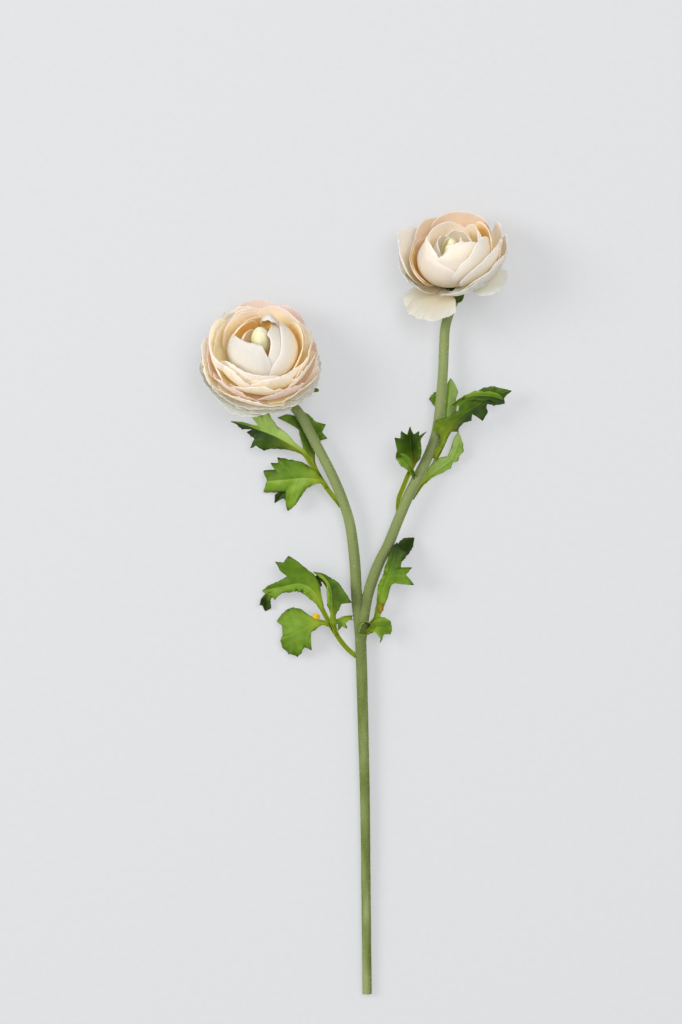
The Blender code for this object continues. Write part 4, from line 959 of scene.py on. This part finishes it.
def leaflet(name, leaf, seed, nodes=()):
    """One cloth sheet: rolled into the stalk at its lower end, then opened and toothed along the midrib."""
    lit_and_shaded_halves, rim_tone, tip_tone, folds, curl = leaf.look
    route = Route(leaf.route)
    blade_s = route.knot_length(leaf.blade_at)
    rows = leaf_rows(leaf)
    steps = len(rows) - 1
    length = rows[-1][0]
    stalk_rows = max(3, round(blade_s / STALK_ROW_STEP))
    blade_rows = steps * ROWS_PER_RUNG
    stalk_share = stalk_rows / (stalk_rows + blade_rows)
    teeth = []
    for end in (2, 4):
        outs = [abs(row[end]) for row in rows] + [0.0]
        teeth.append([float(out >= outs[k - 1] and out >= outs[k + 1]) for k, out in enumerate(outs[:-1])])

    def place(across, along):
        if along < stalk_share - 1e-6:
            s = blade_s * along / stalk_share
            _, side, up = route.axes(s, LEAF_REACH)
            flat, rise = rolled(STALK_ARC * across, 1 / STALK_RADIUS)
            return spot(route.point(s) + side * flat + up * (rise - STALK_SINK)), (0.2, leaf.youth, 0.55)
        t = (along - stalk_share) / (1 - stalk_share) * steps
        row = along_knots(rows, t / steps, RUNG_SOFTNESS)
        right = across > 0
        end_along, end_out = (row[3], row[4]) if right else (row[1], row[2])
        reach = abs(across)
        roll = max(0.0, 1 - t / 1.3) ** 1.2
        free = 1 - roll
        lift = row[0] + (end_along - row[0]) * reach
        width = abs(end_out) * free + STALK_ARC * roll
        flat, rise = rolled(width * reach, roll / STALK_RADIUS)
        torn = abs(ripple(t * 1.9, seed, right * 4.0))
        flat += (0.9 * torn - 0.2) * reach**8 * free * min(1.0, width / 3)
        aside = math.copysign(flat, end_out if roll < 0.5 else across)
        nearest = min(steps, max(0, round(t)))
        lobe = bell(t - nearest, 0.16) * teeth[right][nearest]
        vein = max(lobe * (0.5 - 0.4 * reach), bell(aside, 0.5)) * (1 - roll * 0.5)
        calm = min(1.0, abs(aside) / 4.0) * free
        height = leaf.cup * aside**2 + rise - STALK_SINK * roll
        height += folds[right] * abs(aside) * free
        height -= 0.4 * bell(aside, 0.9) * free
        height += calm * ripple(lift * 0.2, aside * 0.2, seed * 3.3)
        height += curl * reach**3 * calm * ripple(t * 0.9, seed * 1.9 + right * 6.0, 2.0) * 3.2
        height -= curl * 0.9 * past(reach, 0.7, 0.3) ** 2 * calm
        height += curl * 3.0 * past(t / steps, 0.7, 0.3) ** 2 * ripple(seed, 4.4, 1.0)
        youth = max(0.0, 1 - lift / (0.45 * length)) ** 1.4 * (1 - 0.7 * reach)
        # painted light and shade: each half's tone, plus what the rim and the tip add
        tone = lit_and_shaded_halves[right] + rim_tone * reach**2 + tip_tone * (t / steps) ** 3
        tone -= (0.1 + 0.55 * lobe) * past(reach, 0.82, 0.18) ** 2
        _, side, up = route.axes(blade_s + lift, LEAF_REACH)
        point = route.point(blade_s + lift) + side * aside + up * height
        point.z = max(point.z, LEAF_GAP)
        return spot(point), (vein, leaf.youth * min(1.0, youth), tone)

    lay_sheet(name, LEAF_COLUMNS, stalk_rows + blade_rows, place, BLADE_THICKNESS, LEAF_CLOTH, "leaf_green", nodes,
              LEAF_CHANNELS)


def leaves():
    for first_seed, lobes in ((61.0, TURNED_LOBES), (51.0, UNDER_LOBES)):
        for number, (name, lobe) in enumerate(lobes.items()):
            leaflet(name + "_cloth", lobe, first_seed + number)
    for number, (name, parts) in enumerate(LEAVES.items()):
        for order, part in enumerate(parts):
            piece = name if len(parts) == 1 else f"{name}_{order + 1}"
            leaflet(piece + "_cloth", part, 3.7 * number + 1.3 * order + 0.5, [name])


def fork_ring_leaf():
    """A small leaf curled into a ring against the stem at the fork, with its hollow turned up."""
    foot = Vector((-2.6, 238.6, 9.6))
    ahead = Vector((0.3, -0.35, 0.9)).normalized()
    side = ahead.cross(Vector((0, 1, 0))).normalized()
    up = side.cross(ahead)

    def ring(across, along):
        turn = math.radians(75 + 172 * across)
        wide = 3.5 + 1.5 * along + 0.35 * across + 0.5 * along * ripple(turn * 1.4, 3.3, 0)
        crumple = ripple(turn * 2.4, 7.7, 0)
        tall = 7.5 * along * (0.72 + 0.22 * math.sin(turn * 2.5 + 0.6) + 0.3 * crumple)
        here = foot + side * math.cos(turn) * wide + up * math.sin(turn) * wide + ahead * tall
        # tone darker towards the foot: painted shade in the hollow of the ring
        return spot(here), (bell(across, 0.1), 0.5 * (1 - along), 0.35 + 0.5 * along**3)

    lay_sheet("fork_ring_leaf_cloth", 60, 16, ring, BLADE_THICKNESS, LEAF_CLOTH, "leaf_green", [], LEAF_CHANNELS)


def side_bud(name, place, size, material, seed):
    """A small crumpled bud: a ball drawn out along the stem and pinched by folds."""
    ball = add(bpy.ops.mesh.primitive_ico_sphere_add, name, subdivisions=4, radius=1.0)
    for vertex in ball.data.vertices:
        way = vertex.co.copy()
        swell = 1 + 0.35 * ripple(*(way * 1.7 + Vector((seed, 0, 0)))) + 0.12 * ripple(*(way * 5.0))
        way *= swell
        vertex.co = spot(Vector(place) + Vector((way.x * size[0], way.y * size[1], way.z * size[2])))
    bpy.ops.object.shade_smooth()
    ball.data.materials.append(material)
    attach(ball, "root")


forked_stem()
stem_fuzz()
leaves()
fork_ring_leaf()
side_bud("yellow_side_bud", (-33.0, 245.0, 11.8), (2.3, 1.8, 1.5), YELLOW_BUD, 1.0)
side_bud("ochre_side_bud", (8.6, 250.6, 12.0), (1.7, 3.2, 1.6), BROWN_BUD, 2.0)
calyxes()
heart_buds()
left_bloom()
right_bloom()
for name in ("left_receptacle", "right_receptacle"):
    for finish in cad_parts[name].material_slots:
        finish.material = LEAF_CLOTH

# ---- Room ----

CAMERA_HEIGHT = 2.0
VIEW_HEIGHT = 0.6656  # metres of the table that the camera sees from bottom to top
VIEW_MIDDLE = (-16.9, 312.65, 0)
SENSOR = 36.0


def pale_table():
    floor = add(bpy.ops.mesh.primitive_plane_add, "pale_table", size=8.0, location=(0.0, 0.0, CAD_BOX[0].z))
    paper = Finish("pale_paper")
    grain = paper.noise(paper.solid, 240.0, 4.0)
    tone = paper.ramp(grain, [(0.3, shade(131, 132, 134)), (0.7, shade(134, 135, 137))])
    paper.surface({"Base Color": tone, "Roughness": paper.spread(grain, 0.85, 0.95),
                   "Normal": paper.bump(grain, 0.0002, 0.1), "Specular IOR Level": 0.1,
                   "Emission Color": (1.0, 1.0, 1.01, 1.0), "Emission Strength": 0.4})
    floor.data.materials.append(paper.material)


def softbox(name, place, size, power, colour):
    lamp = bpy.data.lights.new(name, "AREA")
    lamp.shape = "DISK"
    lamp.size = size
    lamp.energy = power
    lamp.color = colour
    stand = bpy.data.objects.new(name, lamp)
    bpy.context.collection.objects.link(stand)
    stand.location = place
    stand.rotation_euler = (Vector((0, 0.1, 0)) - Vector(place)).to_track_quat("-Z", "Y").to_euler()


def soft_light():
    light_paths = bpy.context.scene.cycles  # pale folds light each other many times over
    light_paths.max_bounces = 16
    light_paths.diffuse_bounces = 10
    world = bpy.data.worlds.new("soft_studio")
    bpy.context.scene.world = world
    world.use_nodes = True
    sky = world.node_tree.nodes["Background"]
    sky.inputs["Color"].default_value = (0.97, 0.985, 1.0, 1.0)
    sky.inputs["Strength"].default_value = 0.66
    softbox("overhead_softbox", (0.6, 0.6, 2.3), 1.3, 30.0, (1.0, 0.995, 0.985))
    softbox("side_softbox", (-2.4, 0.6, 2.0), 1.6, 76.0, (1.0, 0.99, 0.97))


def camera_above():
    camera = bpy.data.cameras.new("camera")
    camera.sensor_fit = "VERTICAL"
    camera.sensor_height = SENSOR
    camera.lens = SENSOR * CAMERA_HEIGHT / VIEW_HEIGHT
    camera.clip_start, camera.clip_end = 0.05, 20.0
    eye = bpy.data.objects.new("camera", camera)
    bpy.context.collection.objects.link(eye)
    eye.location = (*spot(VIEW_MIDDLE).xy, CAMERA_HEIGHT)
    bpy.context.scene.camera = eye


pale_table()
soft_light()
camera_above()
